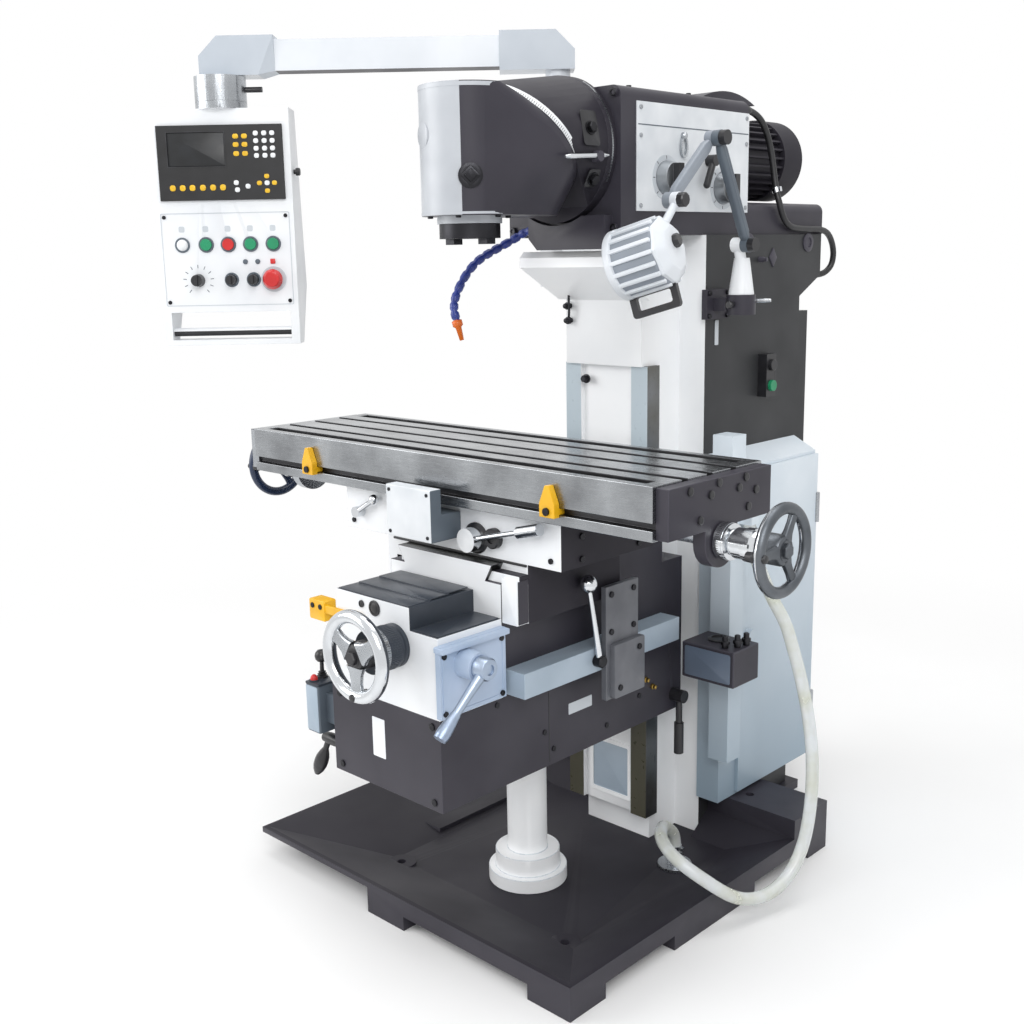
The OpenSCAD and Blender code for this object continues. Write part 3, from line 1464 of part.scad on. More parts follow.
module lamp_upper_arm() color("whitesmoke") placed() difference() {
    union() {
        strut(inner_point(lamp_elbow), inner_point(lamp_neck), lamp_tube_r);
        for (p = [lamp_elbow, lamp_neck])
            rod_x([lamp_arm_x - gap - lamp_eye_w, p[0], p[1]], lamp_eye_w, lamp_lug_r);
        rod_x([lamp_arm_x - gap - over, lamp_elbow[0], lamp_elbow[1]], lamp_pin_l + over, lamp_pin_r);
    }
    rod_x([lamp_arm_x - gap - lamp_pin_l, lamp_neck[0], lamp_neck[1]], lamp_pin_l + over, lamp_pin_r + run);
}

module lamp_head() color("whitesmoke") placed() {
    centre = outer_point(lamp_centre);
    rod_x([lamp_arm_x - lamp_pin_l + gap, lamp_neck[0], lamp_neck[1]], lamp_pin_l, lamp_pin_r);
    rod_x([lamp_arm_x, lamp_neck[0], lamp_neck[1]], lamp_eye_w, lamp_lug_r);
    rod_x([lamp_arm_x + lamp_eye_w - over, lamp_neck[0], lamp_neck[1]], lamp_knob_l + over, lamp_knob_r);
    difference() {
        union() {
            strut(outer_point(lamp_neck), centre, lamp_stay_r);
            translate(centre) rotate([0, -lamp_tilt, lamp_turn]) {
                rod_x([-lamp_body_half, 0, 0], 2 * lamp_body_half, lamp_r);
                rod_x([lamp_body_half - over, 0, 0], lamp_back_l, lamp_back_r[0], lamp_back_r[1]);
                rod_x([-lamp_body_half - lamp_bezel_t, 0, 0], lamp_bezel_t + over, lamp_r + lamp_bezel_r);
                for (a = [0 : lamp_rib_count - 1]) rotate([360 * a / lamp_rib_count, 0, 0])
                    block([-lamp_body_half, lamp_body_half - lamp_bezel_t], span(0, lamp_rib_t / 2),
                        [lamp_r - lamp_rib_in, lamp_r + lamp_rib_h]);
                difference() {
                    block(span(-lamp_handle_x, lamp_handle_t / 2), span(0, lamp_handle_half),
                        [-lamp_r - lamp_handle_h, 0]);
                    block(span(-lamp_handle_x, lamp_handle_t), span(0, lamp_handle_half - lamp_handle_t),
                        [lamp_handle_t - lamp_r - lamp_handle_h, 0]);
                }
            }
        }
        translate(centre) rotate([0, -lamp_tilt, lamp_turn])
            rod_x([-lamp_body_half - lamp_bezel_t - over, 0, 0], 2 * lamp_bezel_t + over, lamp_r - lamp_lens_r);
    }
}

base();
column();
elevating_pedestal();
electrical_cabinet();
cabinet_door();
cable_duct();
oil_box();
column_brackets();
drain_cover();
column_switch();
start_button();
stop_button();
coolant_hose();
motor_cable();
knee();
feed_gearbox();
elevating_screw();
gearbox_side_plate();
trip_rail();
knee_switch_box();
cross_handwheel();
elevating_crank();
vertical_feed_lever();
knee_clamp_lever();
trip_lever();
feed_joystick();
saddle();
saddle_switch_box();
table_feed_lever();
table_clamp_lever();
table();
table_end_brackets();
table_leadscrew();
table_handwheels();
trip_dogs();
ram();
ram_side_panel();
drive_motor();
speed_knob_front();
speed_knob_rear();
ram_clamp_handle();
coolant_pipe();
swivel_body();
spindle_head();
spindle();
pendant_arm();
pendant_box();
readout_unit();
push_button_1();
push_button_2();
push_button_3();
push_button_4();
emergency_stop();
feed_dial();
selector_left();
selector_right();
lamp_swivel();
lamp_lower_arm();
lamp_upper_arm();
lamp_head();
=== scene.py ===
"""Dresses the universal milling machine over its solids and stands it in a plain studio."""
import sys
import json
import logging
import math
import operator
from dataclasses import dataclass
from enum import Enum
from functools import reduce
from itertools import product
from typing import Callable, Iterable, Sequence

import bmesh
import bpy
import numpy as np
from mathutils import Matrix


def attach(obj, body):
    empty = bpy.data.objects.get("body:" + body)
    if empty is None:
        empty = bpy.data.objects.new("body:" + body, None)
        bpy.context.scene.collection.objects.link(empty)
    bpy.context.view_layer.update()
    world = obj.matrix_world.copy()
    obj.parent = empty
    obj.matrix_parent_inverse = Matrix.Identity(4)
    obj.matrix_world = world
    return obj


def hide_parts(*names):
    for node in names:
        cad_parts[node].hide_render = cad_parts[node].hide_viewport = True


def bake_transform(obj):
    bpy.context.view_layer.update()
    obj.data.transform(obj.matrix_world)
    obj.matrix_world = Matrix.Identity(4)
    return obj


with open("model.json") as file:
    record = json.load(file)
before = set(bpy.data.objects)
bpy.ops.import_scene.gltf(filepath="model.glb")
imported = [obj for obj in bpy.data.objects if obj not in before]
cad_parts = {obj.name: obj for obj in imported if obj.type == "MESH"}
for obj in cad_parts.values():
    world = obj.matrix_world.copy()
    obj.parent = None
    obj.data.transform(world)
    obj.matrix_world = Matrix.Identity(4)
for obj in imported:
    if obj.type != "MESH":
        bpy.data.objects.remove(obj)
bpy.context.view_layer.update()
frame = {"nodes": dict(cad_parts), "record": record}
LOG = logging.getLogger("milling_machine")
MM = 0.001
ORIGIN = np.array((0.0, 537.0, 0.0))  # mm, from the base's front edge to the middle of its bolts

RIGHT, LEFT = (1.0, 0.0, 0.0), (-1.0, 0.0, 0.0)
FRONT, REAR = (0.0, -1.0, 0.0), (0.0, 1.0, 0.0)
UP, DOWN = (0.0, 0.0, 1.0), (0.0, 0.0, -1.0)

Tree, Node, Socket = bpy.types.NodeTree, bpy.types.Node, bpy.types.NodeSocket
Object, Mesh, Material = bpy.types.Object, bpy.types.Mesh, bpy.types.Material
Vec = Sequence[float]
Where = Callable[[np.ndarray, np.ndarray], np.ndarray]


def linear(code: str) -> tuple[float, float, float, float]:
    """Turns an sRGB hex value to a linear colour.

    Args:
        code: The colour as "#rrggbb".

    Returns:
        Red, green, blue and an alpha of one.
    """
    parts = np.array([int(code[i:i + 2], 16) for i in (1, 3, 5)]) / 255.0
    low = parts / 12.92
    high = ((parts + 0.055) / 1.055) ** 2.4
    return (*np.where(parts <= 0.04045, low, high).tolist(), 1.0)


def unit(vector: Vec) -> np.ndarray:
    """Returns the vector at length one."""
    values = np.asarray(vector, float)
    return values / np.linalg.norm(values)


def heading(turn: float, tilt: float = 0.0) -> np.ndarray:
    """Returns the direction that is turned from X towards Y and tilted up, both in degrees."""
    a, b = math.radians(turn), math.radians(tilt)
    return np.array((math.cos(a) * math.cos(b), math.sin(a) * math.cos(b), math.sin(b)))


# ---------------------------------------------------------------- surfaces on grids


@dataclass(frozen=True)
class Patch:
    """Points in millimetres, and faces between them with the number of their finish."""

    points: np.ndarray
    faces: tuple[tuple[np.ndarray, int], ...]

    def __add__(self, other: "Patch") -> "Patch":
        """Returns both patches as one, the second's point numbers moved up."""
        shift = len(self.points)
        moved = tuple((corners + shift, tone) for corners, tone in other.faces)
        return Patch(np.vstack((self.points, other.points)), self.faces + moved)

    def toned(self, tone: int) -> "Patch":
        """Returns the patch with every face in that finish."""
        return Patch(self.points, tuple((corners, tone) for corners, _ in self.faces))

    def retoned(self, tones: Sequence[int]) -> "Patch":
        """Returns the patch with each finish's number changed to the one at its place in the list."""
        return Patch(self.points, tuple((corners, tones[tone]) for corners, tone in self.faces))

    def spread(self, offsets: Sequence[Vec]) -> "Patch":
        """Repeats the patch: point p of copy k is p plus offset k.

        Args:
            offsets: One shift for each copy.

        Returns:
            All copies as one patch.
        """
        steps = np.asarray(offsets, float).reshape(-1, 3)
        points = (self.points[None] + steps[:, None]).reshape(-1, 3)
        return self._copied(points, len(steps))

    def spun(self, degrees: Sequence[float]) -> "Patch":
        """Repeats the patch about its own Z axis, one copy for each angle.

        Args:
            degrees: The angles of the copies.

        Returns:
            All copies as one patch.
        """
        turn = np.radians(np.asarray(degrees, float))
        zero = np.zeros_like(turn)
        rows = np.stack((np.cos(turn), np.sin(turn), zero, -np.sin(turn), np.cos(turn), zero,
                         zero, zero, zero + 1), -1).reshape(-1, 3, 3)
        return self._copied((self.points[None] @ rows).reshape(-1, 3), len(turn))

    def _copied(self, points: np.ndarray, count: int) -> "Patch":
        """Returns the faces of one copy repeated over the points of all copies."""
        step = np.arange(count)[:, None, None] * len(self.points)
        faces = tuple(((corners[None] + step).reshape(-1, corners.shape[1]), tone)
                      for corners, tone in self.faces)
        return Patch(points, faces)


@dataclass(frozen=True)
class Seat:
    """A place on the machine: a point, the way out of the surface there, and the way up."""

    at: Vec
    out: Vec = UP
    up: Vec = UP

    def axes(self) -> np.ndarray:
        """Returns right, up and out as the rows of a matrix."""
        out = unit(self.out)
        up = np.asarray(self.up, float)
        if abs(float(out @ unit(up))) > 0.99:
            up = np.array(REAR)
        right = unit(np.cross(up, out))
        return np.stack((right, np.cross(out, right), out))

    def carry(self, patch: Patch) -> Patch:
        """Returns the patch set down here: its X runs right, its Y up and its Z out."""
        return Patch(patch.points @ self.axes() + np.asarray(self.at, float), patch.faces)

    def shifted(self, right: float = 0.0, up: float = 0.0, out: float = 0.0) -> "Seat":
        """Returns the seat moved along its own axes."""
        step = np.array((right, up, out)) @ self.axes()
        return Seat(np.asarray(self.at, float) + step, self.out, self.up)


def loft(rings: np.ndarray, ends: bool = True, around: bool = False) -> Patch:
    """Joins rings of equal point counts: face (i, j) spans ring i to i + 1 and point j to j + 1.

    Args:
        rings: Array of rings, points and coordinates.
        ends: Whether the first and last ring are closed by a face.
        around: Whether the last ring joins the first, as on a torus.

    Returns:
        The closed surface.
    """
    count, size = rings.shape[:2]
    i = np.arange(count if around else count - 1)[:, None]
    j = np.arange(size)[None]
    up, along = (i + 1) % count, (j + 1) % size
    quads = np.stack((i * size + j, i * size + along, up * size + along, up * size + j), -1)
    faces = [(quads.reshape(-1, 4), 0)]
    if ends and not around:
        faces += [(np.arange(size)[None, ::-1], 0), ((count - 1) * size + np.arange(size)[None], 0)]
    return Patch(rings.reshape(-1, 3), tuple(faces))


def turned(profile: Sequence[Vec], sides: int = 32, corners: int = 0, around: bool = False) -> Patch:
    """Turns a profile about Z: a point is (r cos a, r sin a, h), with r cut to flats on a nut.

    Args:
        profile: Radius and height of each ring.
        sides: Points on each ring.
        corners: Number of flats, or none for a round.
        around: Whether the profile closes on itself.

    Returns:
        The turned surface.
    """
    shape = np.asarray(profile, float)
    angle = np.arange(sides) * (2 * math.pi / sides)
    flat = np.ones(sides)
    if corners:
        step = 2 * math.pi / corners
        flat = math.cos(step / 2) / np.cos(angle % step - step / 2)
    radius = shape[:, :1] * flat
    height = np.repeat(shape[:, 1:2], sides, axis=1)
    return loft(np.stack((radius * np.cos(angle), radius * np.sin(angle), height), -1), around=around)


def rounded(width: float, height: float, radius: float, steps: int = 5) -> np.ndarray:
    """Returns a rectangle with round corners: four quarter circles at its inset corners.

    Args:
        width: Full width.
        height: Full height.
        radius: Corner radius.
        steps: Points in each corner.

    Returns:
        The outline's points, counter-clockwise.
    """
    corner = np.repeat(np.arange(4), steps)
    sign_x = np.where((corner == 0) | (corner == 3), 1.0, -1.0)
    sign_y = np.where(corner < 2, 1.0, -1.0)
    angle = corner * (math.pi / 2) + np.tile(np.linspace(0, math.pi / 2, steps), 4)
    x = sign_x * (width / 2 - radius) + radius * np.cos(angle)
    y = sign_y * (height / 2 - radius) + radius * np.sin(angle)
    return np.stack((x, y), -1)


def inset(outline: np.ndarray, depth: float) -> np.ndarray:
    """Moves each point inwards along the mean of its two edges' normals.

    Args:
        outline: Points, counter-clockwise.
        depth: Distance moved.

    Returns:
        The smaller outline.
    """
    edge = np.roll(outline, -1, axis=0) - outline
    length = np.maximum(np.linalg.norm(edge, axis=1, keepdims=True), 1e-9)
    normal = np.stack((-edge[:, 1], edge[:, 0]), -1) / length
    mean = normal + np.roll(normal, 1, axis=0)
    scale = np.maximum((mean * mean).sum(axis=1, keepdims=True), 0.3)
    return outline + mean * (2 * depth / scale)


def layers(outlines: Sequence[np.ndarray], heights: Sequence[float], around: bool = False) -> Patch:
    """Stacks outlines of equal point counts at their heights and joins them.

    Args:
        outlines: One outline for each layer.
        heights: The layers' heights.
        around: Whether the last layer joins the first.

    Returns:
        The stacked surface.
    """
    flat = np.stack(outlines)
    level = np.broadcast_to(np.asarray(heights, float)[:, None, None], flat.shape[:2] + (1,))
    return loft(np.concatenate((flat, level), -1), around=around)


def plate(outline: np.ndarray, thick: float, edge: float = 0.0) -> Patch:
    """Raises an outline by its thickness and rounds its front edge over in two steps.

    Args:
        outline: Points, counter-clockwise.
        thick: Thickness.
        edge: Radius of the front edge.

    Returns:
        The plate, its back at height zero.
    """
    if not edge:
        return layers((outline, outline), (0, thick))
    shapes = (outline, outline, inset(outline, 0.3 * edge), inset(outline, edge))
    return layers(shapes, (0, thick - edge, thick - 0.3 * edge, thick))


def bezel(outer: np.ndarray, inner: np.ndarray, thick: float) -> Patch:
    """Returns the band between two outlines of equal point counts, raised by its thickness."""
    return layers((outer, outer, inner, inner), (0, thick, thick, 0), around=True)


def smooth_path(points: Sequence[Vec], fine: int = 6) -> np.ndarray:
    """Runs a Catmull-Rom curve through the points: a cubic between each two, tangent to its neighbours.

    Args:
        points: The route.
        fine: Steps between two points.

    Returns:
        The finer route.
    """
    p = np.asarray(points, float)
    ends = np.vstack((2 * p[0] - p[1], p, 2 * p[-1] - p[-2]))
    a, b, c, d = ends[:-3, None], ends[1:-2, None], ends[2:-1, None], ends[3:, None]
    t = np.linspace(0, 1, fine, endpoint=False)[None, :, None]
    curve = 0.5 * (2 * b + (c - a) * t + (2 * a - 5 * b + 4 * c - d) * t ** 2
                   + (3 * b - a - 3 * c + d) * t ** 3)
    return np.vstack((curve.reshape(-1, 3), p[-1:]))


def tube(path: np.ndarray, radius: float | np.ndarray, sides: int = 14) -> Patch:
    """Carries a circle along a path, square to it: p + r (u cos a + w sin a).

    Args:
        path: The centreline.
        radius: One radius, or one for each point.
        sides: Points round the circle.

    Returns:
        The closed tube.
    """
    tangent = np.gradient(path, axis=0)
    tangent /= np.linalg.norm(tangent, axis=1, keepdims=True)
    # the direction that the route runs along least keeps the circle from twisting
    least = np.linalg.eigh(tangent.T @ tangent)[1][:, 0]
    u = np.cross(least, tangent)
    u /= np.linalg.norm(u, axis=1, keepdims=True)
    w = np.cross(tangent, u)
    angle = (np.arange(sides) * (2 * math.pi / sides))[None, :, None]
    reach = np.broadcast_to(np.asarray(radius, float), len(path))[:, None, None]
    return loft(path[:, None] + reach * (u[:, None] * np.cos(angle) + w[:, None] * np.sin(angle)))


def cap_screw(radius: float, height: float) -> Patch:
    """Turns a round screw head with a chamfered rim and a hexagon socket sunk in its top.

    Args:
        radius: Head radius.
        height: Head height.

    Returns:
        The head, its seat at height zero.
    """
    head = turned(((radius, -0.5), (radius, 0.82 * height), (0.86 * radius, height), (0.6 * radius, height)), 18)
    well = turned(((0.62 * radius, height - 0.05), (0.58 * radius, height + 0.1),
                   (0.52 * radius, 0.45 * height)), 18, corners=6)
    # the socket takes tone one, which the screw groups mostly make black: painted shade in the socket
    return head + well.toned(1)


def hex_head(radius: float, height: float) -> Patch:
    """Turns a hexagon head on a round washer, its corners chamfered.

    Args:
        radius: Corner radius.
        height: Head height.

    Returns:
        The head and washer, the seat at height zero.
    """
    washer = turned(((1.25 * radius, -0.5), (1.25 * radius, 0.2 * height), (1.1 * radius, 0.24 * height)), 24)
    nut = turned(((radius, 0.2 * height), (radius, 0.88 * height), (0.84 * radius, height)), 18, corners=6)
    return washer + nut


# ---------------------------------------------------------------- finishes

MIX = "ShaderNodeMix"
NOISE = "ShaderNodeTexNoise"
RANGE = "ShaderNodeMapRange"
MATHS = "ShaderNodeMath"
MIDDLE = (0.3, 0.7)  # where most of a noise lies


def wire(tree: Tree, node: Node, inputs: dict | Sequence) -> None:
    """Sets a node's inputs, by name or in order: a socket is linked and a plain value is put in.

    Args:
        tree: The material's node tree.
        node: The node.
        inputs: Values or sockets.
    """
    named = inputs if isinstance(inputs, dict) else dict(enumerate(inputs))
    for name, value in named.items():
        if isinstance(value, Socket):
            tree.links.new(value, node.inputs[name])
        else:
            node.inputs[name].default_value = value


def add_node(tree: Tree, kind: str, inputs: dict | Sequence = (), out: int | str = 0, **settings: object) -> Socket:
    """Adds a node with its settings, values and links.

    Args:
        tree: The material's node tree.
        kind: The node's type.
        inputs: Values or sockets, by name or in order.
        out: The output that is wanted.
        settings: The node's own properties.

    Returns:
        The wanted output's socket.
    """
    node = tree.nodes.new(kind)
    for name, value in settings.items():
        setattr(node, name, value)
    wire(tree, node, inputs)
    return node.outputs[out]


def seen_rays(tree: Tree) -> Socket:
    """Returns a socket that is one for rays that show a thing to the eye, straight, mirrored or through glass."""
    rays = add_node(tree, "ShaderNodeLightPath").node.outputs
    seen = add_node(tree, MATHS, (rays["Is Camera Ray"], rays["Is Glossy Ray"]), operation="MAXIMUM")
    return add_node(tree, MATHS, (seen, rays["Is Transmission Ray"]), operation="MAXIMUM")


class Lay(Enum):
    """The way that a cutter's marks run on a machined face."""

    ALONG_X = (0.06, 1.0, 1.0)
    ALONG_Z = (1.0, 1.0, 0.06)
    ROUND = (1.0, 1.0, 1.0)


@dataclass(frozen=True)
class Finish:
    """What every finish has: a name, how its material is built once, and the steps that finishes share."""

    name: str

    def material(self) -> Material:
        """Returns the material, built on its first use."""
        known = bpy.data.materials.get(self.name)
        if known:
            return known
        made = bpy.data.materials.new(self.name)
        made.use_nodes = True
        tree = made.node_tree
        self.dress(tree, tree.nodes["Principled BSDF"], add_node(tree, "ShaderNodeTexCoord", out="Object"))
        return made

    def dress(self, tree: Tree, shader: Node, place: Socket) -> None:
        """Sets the shader up; each finish has its own."""
        raise NotImplementedError

    @staticmethod
    def spots(place: Socket, size_mm: float, detail: float = 2.0) -> dict:
        """Returns the inputs of a noise whose spots are about that size, with that many finer octaves."""
        return {"Vector": place, "Scale": 1.0 / (size_mm * MM), "Detail": detail}

    def patches(self, tree: Tree, spots: dict, first: str | Socket, second: str,
                span: Vec = MIDDLE) -> tuple[Socket, Socket]:
        """Mixes two colours by a noise.

        Args:
            tree: The material's node tree.
            spots: The noise's inputs.
            first: An sRGB hex value, or a colour socket.
            second: An sRGB hex value.
            span: Where the noise leaves the first colour, and where it reaches the second.

        Returns:
            The noise's socket and the mixed colour's.
        """
        noise = add_node(tree, NOISE, spots)
        share = add_node(tree, RANGE, (noise, *span, 0.0, 1.0))
        base = linear(first) if isinstance(first, str) else first
        return noise, add_node(tree, MIX, {0: share, 6: base, 7: linear(second)}, 2, data_type="RGBA")

    def surface(self, tree: Tree, shader: Node, colour: Socket, sheen: Socket, rough: Vec, height: Socket,
                strength: float, deep_mm: float) -> None:
        """Wires the shader's colour, roughness and bump.

        Args:
            tree: The material's node tree.
            shader: The shader.
            colour: Its colour.
            sheen: The noise that the roughness follows.
            rough: Least and greatest roughness.
            height: The bump's height.
            strength: The bump's strength.
            deep_mm: The bump's depth.
        """
        wire(tree, shader, {
            "Base Color": colour, "Roughness": add_node(tree, RANGE, (sheen, *MIDDLE, *rough)),
            "Normal": add_node(tree, "ShaderNodeBump", {"Height": height, "Strength": strength,
                                                        "Distance": deep_mm * MM})})


@dataclass(frozen=True)
class Enamel(Finish):
    """Two-pack machine enamel, sprayed over filled castings: satin, with a faint orange peel and cloudy shade."""

    paint: str = "#45434c"
    cloud: str = "#3c3a43"
    rough: float = 0.42
    peel_mm: float = 3.0  # real peel is about 1 mm, drawn coarser so that it shows
    cloud_mm: float = 160.0
    chips: str = ""
    chip_mm: float = 9.0
    gloss: float = 0.5
    low_shade: str = ""
    low_shade_m: tuple[float, float] = (0.15, 1.0)  # heights where the painted shade at the foot is full and where it ends

    def dress(self, tree: Tree, shader: Node, place: Socket) -> None:
        """Clouds the colour, peels the surface, lets primer through on rubbed edges and paints shade on what is low."""
        clouds, colour = self.patches(tree, self.spots(place, self.cloud_mm, 3.0), self.paint, self.cloud)
        if self.chips:
            _, colour = self.patches(tree, self.spots(place, self.chip_mm, 4.0), colour, self.chips, (0.52, 0.6))
        # darker towards the foot: painted shade
        if self.low_shade:
            height = add_node(tree, "ShaderNodeSeparateXYZ", (place,), "Z")
            share = add_node(tree, RANGE, (height, *self.low_shade_m, 1.0, 0.0))
            colour = add_node(tree, MIX, {0: share, 6: colour, 7: linear(self.low_shade)}, 2, data_type="RGBA")
        peel = add_node(tree, NOISE, self.spots(place, self.peel_mm, 1.0))
        self.surface(tree, shader, colour, clouds, (self.rough - 0.05, self.rough + 0.08), peel, 0.12, 0.3)
        wire(tree, shader, {"IOR": 1.5, "Specular IOR Level": self.gloss})


@dataclass(frozen=True)
class PaleFloor(Enamel):
    """Rolled matt studio floor: pale near the machine, where it holds the shadow, and white to the eye far off."""

    near_m: float = 1.3
    far_m: float = 3.4

    def dress(self, tree: Tree, shader: Node, place: Socket) -> None:
        """Mixes the paint with plain white by the distance from the machine, for the rays that see the floor."""
        super().dress(tree, shader, place)
        reach = add_node(tree, "ShaderNodeVectorMath", (place,), "Value", operation="LENGTH")
        fade = add_node(tree, RANGE, (reach, self.near_m, self.far_m), interpolation_type="SMOOTHSTEP")
        share = add_node(tree, MATHS, (seen_rays(tree), fade), operation="MULTIPLY")
        white = add_node(tree, "ShaderNodeEmission", {"Color": (1, 1, 1, 1), "Strength": 1.0})
        mix = add_node(tree, "ShaderNodeMixShader", (share, shader.outputs[0], white))
        wire(tree, tree.nodes["Material Output"], {"Surface": mix})


@dataclass(frozen=True)
class CutMetal(Finish):
    """Ground, milled or turned metal: bright, with fine lines along the cut and a film of oil in patches."""

    metal: str = "#b8bcc0"
    film: str = "#8d8f90"
    rough: float = 0.3
    lay: Lay = Lay.ROUND
    line_mm: float = 2.4  # real lines are under 0.1 mm, drawn coarser so that they show
    film_mm: float = 70.0
    depth: float = 0.1

    def dress(self, tree: Tree, shader: Node, place: Socket) -> None:
        """Stretches a noise along the lay for the lines and clouds it with oil."""
        laid = add_node(tree, "ShaderNodeMapping", {"Vector": place, "Scale": self.lay.value})
        lines = add_node(tree, NOISE, self.spots(laid, self.line_mm))
        _, colour = self.patches(tree, self.spots(place, self.film_mm, 4.0), self.metal, self.film, (0.35, 0.75))
        self.surface(tree, shader, colour, lines, (self.rough - 0.07, self.rough + 0.1), lines, self.depth, 0.1)
        wire(tree, shader, {"Metallic": 1.0})


@dataclass(frozen=True)
class GuideFace(Finish):
    """Column guideway: scraped iron strips, browned by oil towards the foot, with enamel between their inner edges."""

    middle: str = "#f1f3f5"
    strip: str = "#b7c4cc"
    oily: str = "#4c4a3d"
    edge_m: tuple[float, float] = (0.078, 0.079)  # from the machine's middle: where enamel ends and iron starts
    dry_m: tuple[float, float] = (0.45, 0.85)  # heights where the oil starts to thin out and where it ends
    scrape_mm: float = 14.0

    def dress(self, tree: Tree, shader: Node, place: Socket) -> None:
        """Splits the face by its distance from the middle, browns the strips by height and dulls scraped patches."""
        axes = add_node(tree, "ShaderNodeSeparateXYZ", (place,)).node.outputs
        share = add_node(tree, RANGE, (axes["Z"], *self.dry_m, 1.0, 0.0))
        iron = add_node(tree, MIX, {0: share, 6: linear(self.strip), 7: linear(self.oily)}, 2, data_type="RGBA")
        side = add_node(tree, MATHS, (axes["X"],), operation="ABSOLUTE")
        on_strip = add_node(tree, RANGE, (side, *self.edge_m, 0.0, 1.0))
        colour = add_node(tree, MIX, {0: on_strip, 6: linear(self.middle), 7: iron}, 2, data_type="RGBA")
        scrape = add_node(tree, NOISE, self.spots(place, self.scrape_mm))
        self.surface(tree, shader, colour, scrape, (0.26, 0.42), scrape, 0.08, 0.2)


@dataclass(frozen=True)
class Moulding(Finish):
    """Injection-moulded plastic or rubber: even colour with a spark-eroded grain and slight gloss change."""

    colour: str = "#1c1c1f"
    rubbed: str = "#2a2a2e"
    rough: float = 0.38
    grain_mm: float = 1.6
    worn_mm: float = 35.0

    def dress(self, tree: Tree, shader: Node, place: Socket) -> None:
        """Adds the tool's grain and the lighter places that hands have rubbed."""
        worn, colour = self.patches(tree, self.spots(place, self.worn_mm, 3.0), self.colour, self.rubbed, (0.4, 0.75))
        grain = add_node(tree, NOISE, self.spots(place, self.grain_mm))
        self.surface(tree, shader, colour, worn, (self.rough - 0.06, self.rough + 0.06), grain, 0.1, 0.1)
        wire(tree, shader, {"IOR": 1.52})


@dataclass(frozen=True)
class ClearVinyl(Finish):
    """Soft clear hose: milky wall that lets light through, with faint coolant stains inside."""

    wall: str = "#f2f6f8"
    stain: str = "#e2e4d6"
    stain_mm: float = 60.0

    def dress(self, tree: Tree, shader: Node, place: Socket) -> None:
        """Stains the wall in patches and lets part of the light through it."""
        stains, colour = self.patches(tree, self.spots(place, self.stain_mm, 3.0), self.wall, self.stain, (0.4, 0.7))
        wire(tree, shader, {"Base Color": colour, "Roughness": add_node(tree, RANGE, (stains, *MIDDLE, 0.16, 0.28)),
                            "IOR": 1.5, "Transmission Weight": 0.4})


DARK = Enamel("dark_grey_enamel", "#39373f", "#323038", 0.4, gloss=0.3)
COLUMN_DARK = Enamel("column_dark_enamel", "#343537", "#2d2e30", 0.42, gloss=0.3)
DARK_EDGE = Enamel("dark_grey_enamel_rubbed", "#45434c", "#3d3b44", 0.4, gloss=0.3)
# a darker dark enamel: an oily film on the base's tray, and painted shade where it covers the saddle under the table
DARK_OILY_AND_SHADED = Enamel("dark_grey_enamel_oily_and_shaded", "#2e2c33", "#27252c", 0.5, cloud_mm=260.0, gloss=0.2)
WHITE = Enamel("white_enamel", "#edeff1", "#e3e6ea", 0.36)
# a brighter copy of the white enamel for the column, its foot and the pedestal, which get less light: painted light
WHITE_LIFTED_FOR_SHADE = Enamel("white_enamel_lifted_for_shade", "#fbfcfd", "#f4f6f8", 0.34)
# a darker copy of the white enamel for the lamp head and the pendant arm, which get more light: painted shade
WHITE_DIMMED_FOR_LIGHT = Enamel("white_enamel_dimmed_for_light", "#dfe3e8", "#d3d8de", 0.34)
WHITE_EDGE = Enamel("white_enamel_rubbed", "#e2e6ea", "#d5dae0", 0.36, chips="#c9cfd6")
GREY = Enamel("light_grey_enamel", "#c9ced3", "#bcc2c8", 0.38)
# silver enamel; on the head's front and its edge bands it also stands for painted reflection and painted highlight
SILVER_AND_HIGHLIGHT = Enamel("silver_hammer_enamel_and_painted_highlight", "#c2c6cb", "#a9adb3", 0.32, peel_mm=6.0)
YELLOW = Enamel("yellow_enamel", "#e9b31a", "#d9a312", 0.38, cloud_mm=40.0)
TABLE = CutMetal("ground_table_iron", "#a6a9ac", "#7f8184", 0.24, Lay.ALONG_X, film_mm=120.0)
WAYS = CutMetal("scraped_way_iron", "#77797b", "#5f5d54", 0.34, Lay.ALONG_Z, film_mm=110.0)
# dark iron on the table's slot walls, slot floors and front groove: painted shade in these recesses
SLOT_SHADE = CutMetal("milled_slot_iron_shaded", "#4a4a4c", "#38383a", 0.42, Lay.ALONG_X)
STEEL = CutMetal("turned_steel", "#b4b8bc", "#9a9da1", 0.26)
BLUED = CutMetal("blackened_steel", "#3a3a3d", "#2c2c2f", 0.36)
CHROME = CutMetal("chrome_plate", "#d9dcdf", "#cbced2", 0.12, depth=0.03)
BRASS = CutMetal("oiled_brass", "#b99a55", "#93783f", 0.3)
BLACK = Moulding("black_abs", "#1d1d20", "#29292d", 0.36)
RUBBER = Moulding("black_rubber", "#18181a", "#222225", 0.55, 2.2)
PANEL = Moulding("readout_foil_black", "#121214", "#18181b", 0.42, 0.8)
GLASS = Moulding("readout_screen", "#0d0f12", "#12151a", 0.36, 4.0)
KEY_WHITE = Moulding("key_white", "#e6e8ea", "#d8dbde", 0.4)
KEY_YELLOW = Moulding("key_yellow", "#e5b823", "#d6a81a", 0.4)
GREEN = Moulding("green_button", "#1d8f62", "#178055", 0.3)
RED = Moulding("red_button", "#cc2a2a", "#b92020", 0.3)
ORANGE = Moulding("orange_nozzle", "#e2701f", "#cf5f14", 0.36)
BLUE = Moulding("blue_link_hose", "#2a3c8e", "#223178", 0.34)
CABLE = Moulding("black_cable_jacket", "#1a1a1c", "#242427", 0.45, 2.0)
